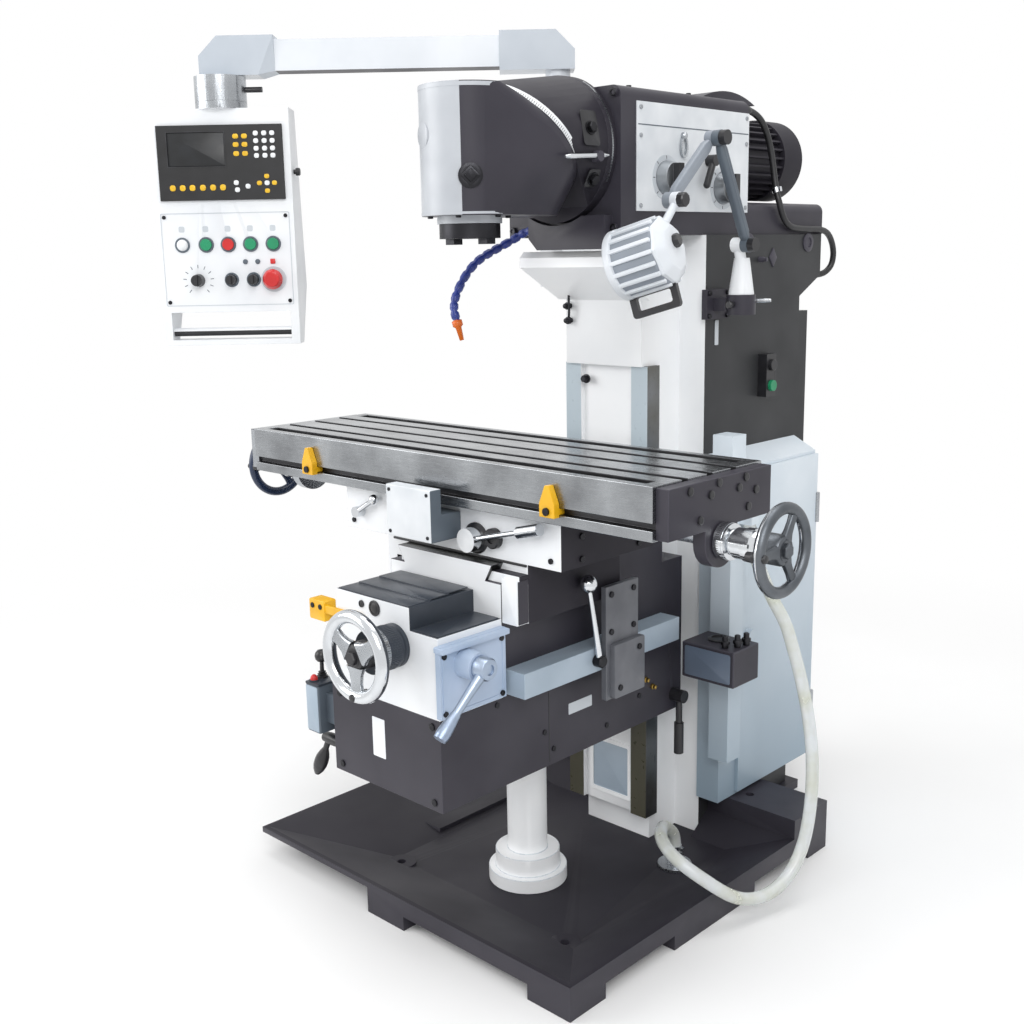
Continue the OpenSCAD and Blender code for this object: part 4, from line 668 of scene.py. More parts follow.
SLATE = Enamel("slate_grey_enamel", "#5d6770", "#535c66", 0.4)
GREY_BLUE = Enamel("grey_blue_enamel", "#bdc4cc", "#b1b9c2", 0.38)
WORN_WHITE = Enamel("white_enamel_handled", "#e4e7ea", "#c9ced3", 0.34, cloud_mm=120.0)
CAST = CutMetal("cast_aluminium", "#a9adb1", "#8e9296", 0.36)
CAST_DARK = CutMetal("cast_aluminium_dark", "#6d7176", "#585c61", 0.4)
NAVY = Enamel("navy_enamel", "#26344f", "#1f2b43", 0.3)
LENS = Moulding("frosted_lamp_lens", "#eef0f0", "#e2e6e8", 0.22)
HOSE = ClearVinyl("clear_vinyl_hose")
GUIDE = GuideFace("column_guide_face")
SKY = Enamel("side_plate_blue_enamel", "#aebdd3", "#9eb0c7", 0.34)
# darker towards the floor: painted shade on the cabinet's lower part
CABINET = Enamel("cabinet_blue_enamel", "#dbe3ea", "#cfd9e1", 0.36, low_shade="#95a7b5")
RAIL = Enamel("rail_grey_enamel", "#a7b5c2", "#97a6b4", 0.36)
COVER = Enamel("way_cover_enamel", "#3a4049", "#30353d", 0.32, cloud_mm=120.0, gloss=0.35)
PLATE_GREY = Enamel("trip_plate_enamel", "#66686e", "#595b61", 0.38, cloud_mm=60.0)
OIL_BLUE = Enamel("oil_box_enamel", "#677384", "#566273", 0.36)
ARM = Enamel("lamp_arm_enamel", "#8f96a1", "#81888f", 0.34)
CRANK = CutMetal("satin_crank_steel", "#a9b6c8", "#8c9ab0", 0.36)


# ---------------------------------------------------------------- pieces


@dataclass(frozen=True)
class Coat:
    """A finish and the faces that take it, by their middles and normals in machine millimetres."""

    finish: Finish
    where: Where


BODY_OF = {node: body for body, nodes in frame["record"]["behaviour"]["bodies"].items() for node in nodes}


def put(mesh: Mesh, name: str, body: str, finishes: Sequence[Finish], crease: float = 35.0) -> Object:
    """Makes an object of the mesh, smooth but for its creases, and lets it ride on a body.

    Args:
        mesh: The finished mesh.
        name: The piece's name.
        body: The body that it rides on.
        finishes: Its finishes, by number.
        crease: Degrees past which an edge stays sharp.

    Returns:
        The object.
    """
    for finish in finishes:
        mesh.materials.append(finish.material())
    mesh.polygons.foreach_set("use_smooth", np.ones(len(mesh.polygons), bool))
    mesh.set_sharp_from_angle(angle=math.radians(crease))
    mesh.update()
    obj = bpy.data.objects.new(name, mesh)
    bpy.context.scene.collection.objects.link(obj)
    if body:
        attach(obj, body)
    LOG.info("%s on %s: %d faces", name, body, len(mesh.polygons))
    return obj


def rounded_edges(obj: Object, width: float, angle: float = 30.0, tone: int = -1, steps: int = 2) -> None:
    """Rounds an object's sharp edges with a Bevel.

    Args:
        obj: The piece.
        width: Width of the round in millimetres.
        angle: Degrees past which an edge is rounded.
        tone: Number of the finish on the rounds, or none.
        steps: Faces across each round.
    """
    bevel = obj.modifiers.new("edge", "BEVEL")
    bevel.width = width * MM
    bevel.segments = steps
    bevel.limit_method = "ANGLE"
    bevel.angle_limit = math.radians(angle)
    bevel.use_clamp_overlap = True
    bevel.harden_normals = True
    bevel.material = tone


def build(name: str, patch: Patch, body: str, finishes: Sequence[Finish], edge: float = 0.0,
          stands_for: Sequence[str] = (), crease: float = 35.0) -> Object:
    """Puts a patch into a mesh, closed and facing outwards, as a piece on a body.

    Args:
        name: The piece's name.
        patch: Its points and faces in machine millimetres.
        body: The body that it rides on.
        finishes: Its finishes, by number.
        edge: Width of a round on its sharp edges, or none.
        stands_for: CAD nodes that it replaces.
        crease: Degrees past which an edge stays sharp.

    Returns:
        The object.
    """
    mesh = bpy.data.meshes.new(name)
    corners = [face for block, _ in patch.faces for face in block.tolist()]
    mesh.from_pydata(((patch.points - ORIGIN) * MM).tolist(), [], corners)
    tones = np.concatenate([np.full(len(block), tone) for block, tone in patch.faces])
    mesh.polygons.foreach_set("material_index", tones.astype(np.int32))
    work = bmesh.new()
    work.from_mesh(mesh)
    bmesh.ops.recalc_face_normals(work, faces=work.faces[:])
    work.to_mesh(mesh)
    work.free()
    obj = put(mesh, name, body, finishes, crease)
    if edge:
        rounded_edges(obj, edge)
    if stands_for:
        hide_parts(*stands_for)
    return obj


def stand_in(node: str, patch: Patch, finishes: Sequence[Finish]) -> None:
    """Builds a patch in place of a CAD node, on the node's own body."""
    build(node + "_dressed", patch, BODY_OF[node], finishes, stands_for=[node])


def soften(node: str, finish: Finish, width: float = 2.0, coats: Sequence[Coat] = (),
           rubbed: Finish | None = None, angle: float = 28.0,
           shape: Callable[[np.ndarray], np.ndarray] | None = None) -> Object:
    """Stands a copy of a CAD node in for it, with its flat faces joined, its edges rounded and its paint laid on.

    Args:
        node: The CAD node.
        finish: Its main finish.
        width: Width of the edges' round in millimetres.
        coats: Other finishes and where they lie; the last that fits wins.
        rubbed: Finish of the rounds.
        angle: Degrees past which an edge is rounded.
        shape: Moves the points, in machine millimetres, where the solid is plainer than the real piece.

    Returns:
        The new piece.
    """
    mesh = frame["nodes"][node].data.copy()
    mesh.materials.clear()
    if shape:
        points = np.empty(len(mesh.vertices) * 3)
        mesh.vertices.foreach_get("co", points)
        moved = (shape(points.reshape(-1, 3) / MM + ORIGIN) - ORIGIN) * MM
        mesh.vertices.foreach_set("co", moved.ravel())
    work = bmesh.new()
    work.from_mesh(mesh)
    bmesh.ops.remove_doubles(work, verts=work.verts[:], dist=0.02 * MM)
    bmesh.ops.dissolve_limit(work, angle_limit=math.radians(0.4), verts=work.verts[:], edges=work.edges[:])
    work.to_mesh(mesh)
    work.free()
    count = len(mesh.polygons)
    middle, normal = np.empty(count * 3), np.empty(count * 3)
    mesh.polygons.foreach_get("center", middle)
    mesh.polygons.foreach_get("normal", normal)
    middle = middle.reshape(-1, 3) / MM + ORIGIN
    normal = normal.reshape(-1, 3)
    tones = np.zeros(count, np.int32)
    finishes = [finish]
    for coat in coats:
        if coat.finish not in finishes:
            finishes.append(coat.finish)
        tones[coat.where(middle, normal)] = finishes.index(coat.finish)
    mesh.polygons.foreach_set("material_index", tones)
    tone = -1
    if rubbed:
        tone = len(finishes)
        finishes.append(rubbed)
    obj = put(mesh, node + "_dressed", BODY_OF[node], finishes, angle)
    if width:
        rounded_edges(obj, width, angle, tone)
    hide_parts(node)
    return obj


# ---------------------------------------------------------------- studio


@dataclass
class Studio:
    """Pale floor, white surround, three soft lamps and the camera at the photograph's place."""

    eye: Vec = (1885.85, -1632.6, 1515.0)  # mm from the base's front edge
    yaw: float = 44.0978
    pitch: float = -12.0205
    roll: float = 1.1044
    lens: float = 42.853  # mm on a 36 mm frame
    floor_half: float = 40.0  # m
    surround: float = 0.62
    lamps: tuple[tuple[str, Vec, Vec, float, float], ...] = (  # name, place, aim and size in metres, watts
        ("key", (3.6, -3.4, 4.2), (0.0, 0.0, 1.0), 3.0, 150.0),
        ("fill", (-3.2, -3.6, 2.6), (0.0, 0.0, 1.0), 3.0, 105.0),
        ("top", (0.2, 0.3, 5.2), (0.0, 0.0, 0.0), 3.4, 90.0))

    @staticmethod
    def stand(data: bpy.types.ID, axes: np.ndarray, at: Vec) -> Object:
        """Stands a camera or a lamp in the scene.

        Args:
            data: The camera or the lamp.
            axes: Its right, its up and the way out of its back, as rows.
            at: Its place in metres.

        Returns:
            The object.
        """
        obj = bpy.data.objects.new(data.name, data)
        bpy.context.scene.collection.objects.link(obj)
        pose = np.eye(4)
        pose[:3, :3] = axes.T
        pose[:3, 3] = at
        obj.matrix_world = pose.T.tolist()
        return obj

    def camera(self) -> None:
        """Sets the camera: turned by yaw about the upright, tipped by pitch, then rolled about its own view."""
        data = bpy.data.cameras.new("camera")
        data.lens = self.lens
        data.sensor_width = 36.0
        data.clip_end = 200.0
        yaw, pitch, roll = np.radians((self.yaw, self.pitch, self.roll))
        ahead = np.array((-math.sin(yaw) * math.cos(pitch), math.cos(yaw) * math.cos(pitch), math.sin(pitch)))
        level = np.array((math.cos(yaw), math.sin(yaw), 0.0))
        upright = np.cross(level, ahead)
        right = level * math.cos(roll) - upright * math.sin(roll)
        up = level * math.sin(roll) + upright * math.cos(roll)
        at = (np.asarray(self.eye) - ORIGIN) * MM
        bpy.context.scene.camera = self.stand(data, np.stack((right, up, -ahead)), at)

    def lamp(self, name: str, at: Vec, aim: Vec, size: float, power: float) -> None:
        """Adds a square soft lamp at a place, turned to its aim, in metres and watts."""
        data = bpy.data.lights.new(name, "AREA")
        data.size = size
        data.energy = power
        self.stand(data, Seat(at, np.asarray(at, float) - np.asarray(aim, float)).axes(), at)

    def surroundings(self) -> None:
        """Makes the world white to the eye and to reflections, and plain in what it lights."""
        world = bpy.data.worlds.new("studio")
        bpy.context.scene.world = world
        world.use_nodes = True
        tree = world.node_tree
        level = add_node(tree, RANGE, (seen_rays(tree), 0.0, 1.0, self.surround, 1.0))
        wire(tree, tree.nodes["Background"], {"Color": (1, 1, 1, 1), "Strength": level})

    def floor(self) -> None:
        """Lays a wide pale floor, a flat grid with a faint cloud in its colour."""
        count = 9  # points on a side
        side = np.linspace(-self.floor_half, self.floor_half, count)
        x, y = np.meshgrid(side, side, indexing="ij")
        points = np.stack((x, y, np.full_like(x, -0.0005)), -1)
        first = (np.arange(count - 1)[:, None] * count + np.arange(count - 1)).ravel()
        mesh = bpy.data.meshes.new("floor")
        mesh.from_pydata(points.reshape(-1, 3).tolist(), [],
                         np.stack((first, first + count, first + count + 1, first + 1), -1).tolist())
        mesh.materials.append(PaleFloor("pale_floor", "#fafafa", "#f6f6f6", 0.9, 4.0, 900.0).material())
        obj = bpy.data.objects.new("floor", mesh)
        bpy.context.scene.collection.objects.link(obj)

    def set_up(self) -> None:
        """Builds the studio and sets the plain view transform."""
        self.surroundings()
        self.floor()
        for lamp in self.lamps:
            self.lamp(*lamp)
        bpy.context.scene.view_settings.view_transform = "Standard"


# ---------------------------------------------------------------- cords


@dataclass
class Cords:
    """The clear coolant return hose and the motor's cable, on the routes of their solids."""

    hose_radius: float = 15.0
    cable_radius: float = 8.0
    cable_leaves: Vec = (176.0, 1120.0, 1632.0)  # just below the cable's clip on the ram
    hose_route: tuple[Vec, ...] = (
        (322, 794, 872), (322, 794, 838), (334, 798, 796), (354, 804, 750), (378, 809, 698), (412, 816, 640),
        (436, 815, 582), (458, 813, 522), (478, 809, 460), (496, 802, 396), (510, 792, 332), (520, 778, 268),
        (526, 760, 206), (528, 738, 150), (526, 708, 104), (520, 672, 72), (511, 632, 54), (500, 592, 50),
        (488, 552, 58), (474, 516, 76), (457, 486, 100), (436, 462, 124), (410, 446, 144), (380, 440, 160),
        (348, 446, 172), (318, 464, 178), (292, 492, 178), (272, 524, 172), (256, 558, 158), (246, 588, 136),
        (239, 614, 112), (237, 623, 86), (237, 623, 65))
    cable_route: tuple[Vec, ...] = (
        (150, 988, 1842), (150, 1016, 1842), (150, 1044, 1836), (151, 1070, 1822), (152, 1090, 1800),
        (154, 1104, 1772), (157, 1112, 1742), (160, 1116, 1712), (164, 1118, 1682), (170, 1118, 1652),
        (178, 1120, 1624), (182, 1128, 1598), (182, 1146, 1578), (182, 1172, 1566), (182, 1202, 1562),
        (182, 1232, 1561), (182, 1262, 1560), (182, 1292, 1560), (182, 1322, 1558), (180, 1352, 1552),
        (176, 1380, 1538), (172, 1402, 1516), (168, 1414, 1490), (163, 1412, 1464), (155, 1394, 1446),
        (148, 1364, 1440), (148, 1331.3, 1440))

    def hose(self) -> None:
        """Carries the hose's circle along its route and clamps both ends."""
        path = smooth_path(self.hose_route)
        clamp = turned(((15.4, -5), (17, -5), (17, 5), (15.4, 5)), 28, around=True)
        ear = Seat((17, 0, 0), RIGHT).carry(plate(rounded(9, 10, 2), 8, 1.5))
        both = at_each(clamp + ear, [Seat((237, 623, 75)), Seat((322, 794, 860))])
        clips = build("hose_clamps", both, "frame", [STEEL])
        obj = build("coolant_hose_vinyl", tube(path, self.hose_radius, 20), "frame", [HOSE],
                    stands_for=["coolant_hose"])

    def cable(self) -> None:
        """Carries the cable's circle along its route, from the ram to the column, with a gland at each end."""
        path = smooth_path(self.cable_route)
        obj = build("motor_cable_jacket", tube(path, self.cable_radius, 16), "", [CABLE],
                    stands_for=["motor_cable"])
        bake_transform(obj)
        relief = turned(((9, 30), (10.5, 22), (10.5, 18), (12.5, 16), (12.5, 8), (15, 8), (15, 0)), 18)
        glands = [build(f"cable_gland_{name}", Seat(at, REAR).carry(relief), body, [BLACK])
                  for name, at, body in (("ram", (150, 988, 1842), "ram"), ("column", (148, 1331, 1440), "frame"))]


# ---------------------------------------------------------------- shared small parts


def joined(patches: Sequence[Patch]) -> Patch:
    """Returns the patches as one."""
    return reduce(operator.add, patches)


def at_each(patch: Patch, seats: Sequence[Seat]) -> Patch:
    """Sets one copy of a patch down at each seat.

    Args:
        patch: The shape.
        seats: Where the copies go.

    Returns:
        All copies as one patch.
    """
    return joined([seat.carry(patch) for seat in seats])


def screws(seat: Seat, radius: float, height: float, places: Iterable[Vec]) -> Patch:
    """Sets socket screws on a surface.

    Args:
        seat: A seat on the surface.
        radius: The heads' radius.
        height: The heads' height.
        places: How far right and up of the seat each screw is.

    Returns:
        All screws as one patch.
    """
    return seat.carry(cap_screw(radius, height).spread([(*place, 0.0) for place in places]))


def build_screws(name: str, patch: Patch, body: str) -> None:
    """Builds a group of blackened socket screws on a body; their sockets are black as painted shade."""
    build(name, patch, body, [BLUED, BLACK])


def bar(start: Vec, end: Vec, radii: Sequence[float], sides: int = 20) -> Patch:
    """Runs a round bar between two points: its radius goes evenly through the values given.

    Args:
        start: First point.
        end: Last point.
        radii: Radii from start to end.
        sides: Points round the bar.

    Returns:
        The closed bar.
    """
    t = np.linspace(0, 1, 4 * len(radii) - 3)[:, None]
    path = np.asarray(start, float) * (1 - t) + np.asarray(end, float) * t
    return tube(path, np.interp(t[:, 0], np.linspace(0, 1, len(radii)), radii), sides)


def box(width: float, height: float, deep: float, edge: float = 2.0) -> Patch:
    """Returns a block with rounded upright corners and a rounded front, its back at height zero."""
    return plate(rounded(width, height, edge), deep, 0.6 * edge)


def tick_ring(radius: float, length: float, width: float, degrees: Sequence[float], thick: float = 0.5) -> Patch:
    """Lays flat bars round a circle, each pointing at its middle.

    Args:
        radius: Distance of the bars' middles.
        length: Length of a bar.
        width: Width of a bar.
        degrees: The bars' angles.
        thick: Height of the print.

    Returns:
        The bars as one patch.
    """
    tick = plate(rounded(length, width, 0.3 * width, 2), thick)
    return tick.spread([(radius, 0, 0)]).spun(degrees)


def scale_band(radius: float, height: float, start: float, stop: float, marks: int, thick: float = 0.5) -> Patch:
    """Wraps a thin band round a cylinder about Z and lays a row of upright marks on it in tone one.

    A band's point is (r cos a, r sin a, h), with a from start to stop and r, h on the corners of its section.

    Args:
        radius: The cylinder's radius.
        height: Width of the band along the axis.
        start: First angle in degrees.
        stop: Last angle in degrees.
        marks: Number of marks.
        thick: How far the band stands out.

    Returns:
        The band and its marks.
    """
    turn = np.radians(np.linspace(start, stop, 65))[:, None]
    reach = np.array((radius - 0.6, radius + thick, radius + thick, radius - 0.6))[None]
    level = np.array((-0.5, -0.5, 0.5, 0.5))[None] * height + 0 * turn
    band = loft(np.stack((reach * np.cos(turn), reach * np.sin(turn), level), -1))
    mark = Seat((radius + thick, 0, -0.18 * height), RIGHT).carry(plate(rounded(0.9, 0.56 * height, 0.2, 2), 0.25))
    return band + mark.toned(1).spun(np.linspace(start, stop, marks + 2)[1:-1])


def lens_lamp(radius: float, height: float) -> Patch:
    """Turns a domed signal lens in a collar; the lens has tone one."""
    collar = turned(((1.3 * radius, -0.3), (1.3 * radius, 2.4), (1.2 * radius, 3), (0.98 * radius, 3),
                     (0.98 * radius, 1)), 32)
    t = np.linspace(0, 0.94 * math.pi / 2, 7)
    dome = np.stack((radius * np.cos(t), 1.2 + (height - 1.2) * np.sin(t)), -1)
    return collar + turned(dome, 32).toned(1)


@dataclass
class Handwheel:
    """A three-spoked handwheel with its grip pushed in, drawn about its own axis."""

    rim_centre: float = 86.0
    rim_radius: float = 11.0
    plane: float = 36.0
    grip_angle: float = 180.0
    spoke_share: float = 1.0
    # the rim's halves can take their own tones: painted light and painted shade on one rim
    back_tone: int = 0
    front_tone: int = 0
    spoke_angles: tuple[float, ...] = (30.0, 150.0, 270.0)

    def rim(self) -> Patch:
        """Turns the rim's round section about the axis; its front half and its back half have their own tones, for
        painted light and painted shade on the rim.
        """
        a = np.linspace(0, 2 * math.pi, 20, endpoint=False)
        section = np.array((self.rim_centre, self.plane)) + self.rim_radius * np.stack((np.cos(a), np.sin(a)), -1)
        ring = turned(section, 80, around=True)
        quads = ring.faces[0][0]
        half = len(quads) // 2
        return Patch(ring.points, ((quads[:half], self.front_tone), (quads[half:], self.back_tone)))

    def spokes(self) -> Patch:
        """Lofts a waisted spoke from the hub to the rim and repeats it."""
        shapes = [rounded(w * self.spoke_share, t, 0.4 * t)
                  for w, t in ((30, 17), (21, 13), (18, 12), (20, 13), (27, 15))]
        one = Seat((0, 0, self.plane - 1), RIGHT).carry(layers(shapes, (20, 36, 54, 70, 82)))
        return one.spun(self.spoke_angles)

    def hub(self) -> Patch:
        """Turns the stepped hub with its nut."""
        boss = turned(((12.6, 0), (30, 0), (30, 36), (27, 41), (20, 43), (20, 44), (12, 44)), 48)
        nut = turned(((15, 43), (15, 50), (13, 52), (8, 52)), 24, corners=6)
        return boss + nut

    def grip(self) -> Patch:
        """Turns the end of the grip, which is pushed back into the rim."""
        h = self.plane + np.array((-26, -25, -12, -8, 8, 13, 16, 17))
        one = turned(list(zip((8, 9.5, 10.5, 7, 7, 8.4, 7, 2), h)), 28)
        return one.spread([(0, self.rim_centre, 0)]).spun((self.grip_angle,))

    def whole(self) -> Patch:
        """Returns rim, spokes, hub and grip in tones nought to three."""
        return self.rim() + self.spokes().toned(1) + self.hub().toned(2) + self.grip().toned(3)


# ---------------------------------------------------------------- standing frame


@dataclass
class StandingFrame:
    """Base, column, cabinet, duct, oil box and the brackets on the column."""

    guide_front: float = 649.0
    recess_half: float = 80.0
    way_front: float = 696.0
    way_half: float = 128.0
    way_top: float = 1247.5
    front: float = 806.0
    column_half: float = 178.0
    tray_rim: float = 90.0
    pedestal_top: float = 555.0
    hinge: Vec = (254.5, 1210.0)
    ram_seat: float = 1547.5

    def base(self) -> None:
        """Dresses the base, with an oily film on its tray."""
        tray = Coat(DARK_OILY_AND_SHADED, lambda c, n: (n[:, 2] > 0.3) & (c[:, 2] < self.tray_rim))
        soften("base", DARK, 3.0, [tray], DARK_EDGE)
        soften("elevating_pedestal", WHITE_LIFTED_FOR_SHADE, 2.5,
               [Coat(STEEL, lambda c, n: (c[:, 2] > self.pedestal_top) & (n[:, 2] > 0.5))], WHITE_EDGE)
        soften("drain_cover", STEEL, 1.0)

    def column(self) -> None:
        """Dresses the column: dark sides, white front and nose, scraped ways and a ground rail."""
        # the white front takes the brighter copy of the white enamel: painted light
        coats = [
            Coat(WHITE_LIFTED_FOR_SHADE, lambda c, n: c[:, 1] < self.front),
            Coat(WAYS, lambda c, n: (c[:, 1] < self.way_front) & (c[:, 2] < self.way_top)
                 & (np.abs(c[:, 0]) < self.way_half)),
            Coat(WHITE_LIFTED_FOR_SHADE, lambda c, n: (c[:, 1] < self.way_front) & (c[:, 2] < self.way_top)
                 & (np.abs(c[:, 0]) < self.recess_half)),
            Coat(GUIDE, lambda c, n: (c[:, 1] < self.guide_front) & (c[:, 2] < self.way_top) & (n[:, 1] < -0.9)),
            Coat(WAYS, lambda c, n: c[:, 2] > self.ram_seat),
        ]
        soften("column", COLUMN_DARK, 4.0, coats)
        soften("electrical_cabinet", CABINET, 3.0)
        soften("cabinet_door", CABINET, 2.5,
               [Coat(STEEL, lambda c, n: (c[:, 1] > self.hinge[1]) & (c[:, 0] > self.hinge[0]))])
        soften("cable_duct", CABINET, 2.5)
        soften("oil_box", DARK, 3.0, rubbed=DARK_EDGE)
        soften("column_brackets", DARK, 2.0, [Coat(WHITE, lambda c, n: c[:, 0] < 0)])
        soften("column_switch", BLACK, 2.0)
        soften("start_button", GREEN, 1.5)
        soften("stop_button", BLACK, 1.5)

    def fasteners(self) -> None:
        """Sets the screws that hold the rear cover, the lamp plate, the duct and the pedestal's flange."""
        rear = screws(Seat((0, 1282, 0), REAR), 7, 5, product((-152, 152), (335, 640, 1050, 1300)))
        lamp = screws(Seat((194, 0, 0), RIGHT), 6, 5, product((798, 872), (1358, 1412)))
        feet = screws(Seat((252, 0, 0), RIGHT), 5, 4, product((820,), (345, 375, 980, 1010)))
        build_screws("frame_cover_screws", rear + lamp + feet, "frame")
        ring = cap_screw(6, 6).spread([(66, 0, 0)]).spun(range(20, 380, 60))
        build_screws("pedestal_flange_screws", Seat((0, 346, 55)).carry(ring), "frame")

    def fittings(self) -> None:
        """Adds the nose's oilers, the foot's window, the plugs on the right side and the oil box's fittings."""
        oiler = turned(((6, -1), (6, 6), (9, 7), (9, 14), (6, 15), (6, 22), (3, 24)), 20)
        nose = Seat((0, 638, 0), FRONT).carry(oiler.spread([(-100, 1440, 0), (-102, 1385, 0), (-100, 1350, 0)]))
        way = Seat((-60, 648, 1209), FRONT).carry(hex_head(9, 15))
        route = ((-100, 630, 1443), (-93, 622, 1425), (-92, 620, 1400), (-92, 621, 1372), (-100, 628, 1352))
        build("column_oilers", nose + way + tube(smooth_path(route), 3), "frame", [BLUED])
        window = bezel(rounded(134, 152, 6), rounded(114, 130, 4), 3) + plate(rounded(116, 132, 4), 0.8, 0.3).toned(1)
        build("column_foot_window", Seat((4, 660, 205), FRONT).carry(window), "frame", [WHITE_LIFTED_FOR_SHADE, RAIL])
        right = Seat((self.column_half, 0, 0), RIGHT)
        eye = turned(((24, -1), (24, 3), (21, 5), (13, 5), (12, 2)), 32)
        eyes = right.carry(eye.spread([(983, 1526, 0), (1262, 1526, 0)]))
        rhombus = np.array(((0.0, -24.0), (17.0, 0.0), (0.0, 24.0), (-17.0, 0.0)))
        cap = right.shifted(1094, 1490).carry(plate(rhombus, 4, 2))
        cap = cap + right.shifted(1034, 1486).carry(turned(((7, -1), (7, 12), (5, 16), (5, 22), (2, 23)), 20))
        build("column_plugs", eyes + cap, "frame", [DARK_EDGE])
        strip = right.shifted(852, 1316).carry(plate(rounded(14, 60, 2), 2, 0.8))
        build("column_gib_plate", strip, "frame", [GREY])
        sight = Seat((300, 705, 601)).carry(turned(((26, -1), (26, 4), (22, 6), (18, 6), (18, 3), (0.5, 3)), 36))
        union = turned(((8, -1), (8, 8), (11, 9), (11, 16), (7, 18), (7, 28), (4, 30)), 20)
        unions = union.spread([(346, 664, 601), (364, 688, 601), (370, 716, 601)])
        build("oil_box_cap", sight + unions.toned(1), "frame", [BLACK, BLUED])
        front = Seat((311, 643, 557), FRONT).carry(plate(rounded(128, 72, 5), 1.6, 0.8))
        build("oil_box_front", front, "frame", [OIL_BLUE])

    def make(self) -> None:
        """Builds the standing frame."""
        self.base()
        self.column()
        self.fasteners()
        self.fittings()


# ---------------------------------------------------------------- knee and saddle


@dataclass
class Knee:
    """Knee casting, gearbox and everything that is bolted to them."""

    side: float = 174.0
    front: float = -85.0
    plate_face: float = 188.0
    wheel_at: Vec = (45.0, -153.3, 732.0)
    dial_radius: float = 46.0
    dial_length: float = 68.0
    crank_at: Vec = (247.3, -27.0, 711.0)
    crank_aim: Vec = (0.0, -0.755, -0.656)
    crank_length: float = 168.0
    trip_x: float = 241.3
    trip_at: Vec = (334.0, 631.0)
    trip_ball: Vec = (296.0, 815.0)
    ball_radius: float = 20.0
    switch_low: Vec = (-272.0, -86.0, 463.0)
    switch_size: Vec = (46.0, 56.0, 116.0)
    stick_at: Vec = (-264.0, -44.0, 579.0)
    feed_at: Vec = (-258.0, -38.0, 431.0)
    feed_end: Vec = (-312.0, -38.0, 329.0)
    way_foot: float = 845.0
    nose_foot: float = 700.0
    cover_foot: float = 760.0
    gearbox_split: float = 100.0
    trip_face: float = 230.5

    def castings(self) -> None:
        """Dresses the knee, its gearbox and the rail on its right."""
        ways = Coat(WAYS, lambda c, n: c[:, 2] > self.way_foot)
        nose = Coat(WHITE, lambda c, n: (n[:, 1] < -0.9) & (c[:, 2] > self.nose_foot))
        soften("knee", DARK, 3.0, [ways, nose], DARK_EDGE)
        top = Coat(COVER, lambda c, n: (n[:, 2] > 0.9) & (c[:, 2] > self.cover_foot))
        inner = Coat(COVER, lambda c, n: (n[:, 0] > 0.9) & (c[:, 0] < self.gearbox_split))
        soften("feed_gearbox", WHITE, 3.0, [top, inner])
        soften("gearbox_side_plate", SKY, 2.0)
        soften("trip_rail", RAIL, 2.0, [Coat(PLATE_GREY, lambda c, n: c[:, 0] > self.trip_face)])
        soften("elevating_screw", STEEL, 0.0)

    def levers(self) -> None:
        """Builds the clamp lever, the plated trip lever with its ball, the joystick and the feed lever."""
        soften("knee_clamp_lever", BLACK, 1.5)
        x, (y, z), (ball_y, ball_z) = self.trip_x, self.trip_at, self.trip_ball
        hub = Seat((x - 11, y, z), RIGHT).carry(turned(((6, 0), (13, 0), (14, 1), (14, 20), (12, 22), (3, 22)), 36))
        t = np.linspace(-0.46 * math.pi, 0.5 * math.pi, 15)
        ball = np.stack((self.ball_radius * np.cos(t), self.ball_radius * np.sin(t)), -1)
        arm = np.array((0.0, ball_y - y, ball_z - z))
        top = Seat((x, ball_y, ball_z), arm, RIGHT).carry(turned(ball, 40))
        rod = bar((x, y, z), (x, ball_y, ball_z), (7.5, 7.5, 7, 6.4, 6, 5.6, 5.2))
        stand_in("trip_lever", hub.toned(1) + rod + top, [CHROME, BLUED])
        gaiter = turned(((13, -1), (13, 3), (9, 5), (11, 8), (7, 10), (9, 13), (5, 15), (4.6, 34), (5, 38)), 28)
        knob = turned(((5, 36), (10, 38), (14, 43), (15.4, 50), (14, 57), (9, 63), (3, 65)), 32)
        stand_in("feed_joystick", Seat(self.stick_at).carry(gaiter + knob), [BLACK])
        at, end = np.asarray(self.feed_at), np.asarray(self.feed_end)
        shaft = bar((-self.side, at[1], at[2]), at - (14, 0, 0), (11, 11, 12.5, 14, 14, 12))
        grip = bar(at + 0.3 * (end - at), end, (7, 12, 15.4, 16.6, 16, 13, 7))
        rod = bar(at, at + 0.4 * (end - at), (7, 7, 6.5))
        stand_in("vertical_feed_lever", shaft + rod + grip, [BLACK])

    def cross_wheel(self) -> None:
        """Builds the cross feed's wheel on its graduated dial."""
        seat = Seat(self.wheel_at, FRONT)
        # the back half of the rim takes the dial's dark finish: painted shade on the rim's far side
        wheel = seat.carry(Handwheel(83.0, 14.0, spoke_share=1.7, back_tone=4).whole())
        h = np.array((0, 0, 8, 10, 14, 16, 52, 54, 58, 60, 68, 68)) - self.dial_length
        r = self.dial_radius - np.array((34, 0, 0, 3, 3, 0, 0, 2, 2, 0, 0, 34))
        dial = seat.carry(turned(list(zip(r, h)), 64)).toned(4)
        band = seat.shifted(out=-12).carry(scale_band(self.dial_radius, 14, 0, 360, 60).retoned((5, 6)))
        knurl = Seat((self.dial_radius - 0.6, 0, 0), RIGHT).carry(plate(rounded(2.2, 26, 0.6, 2), 1.4, 0.5))
        knurl = seat.shifted(out=-36).carry(knurl.spun(np.arange(0, 360, 6))).toned(4)
        shaft = bar((45, -85.5, 732), (45, -45, 732), (11.5, 11.5)).toned(4)
        stand_in("cross_handwheel", wheel + dial + band + knurl + shaft,
                 [CHROME, STEEL, BLACK, BLACK, COVER, STEEL, BLACK])

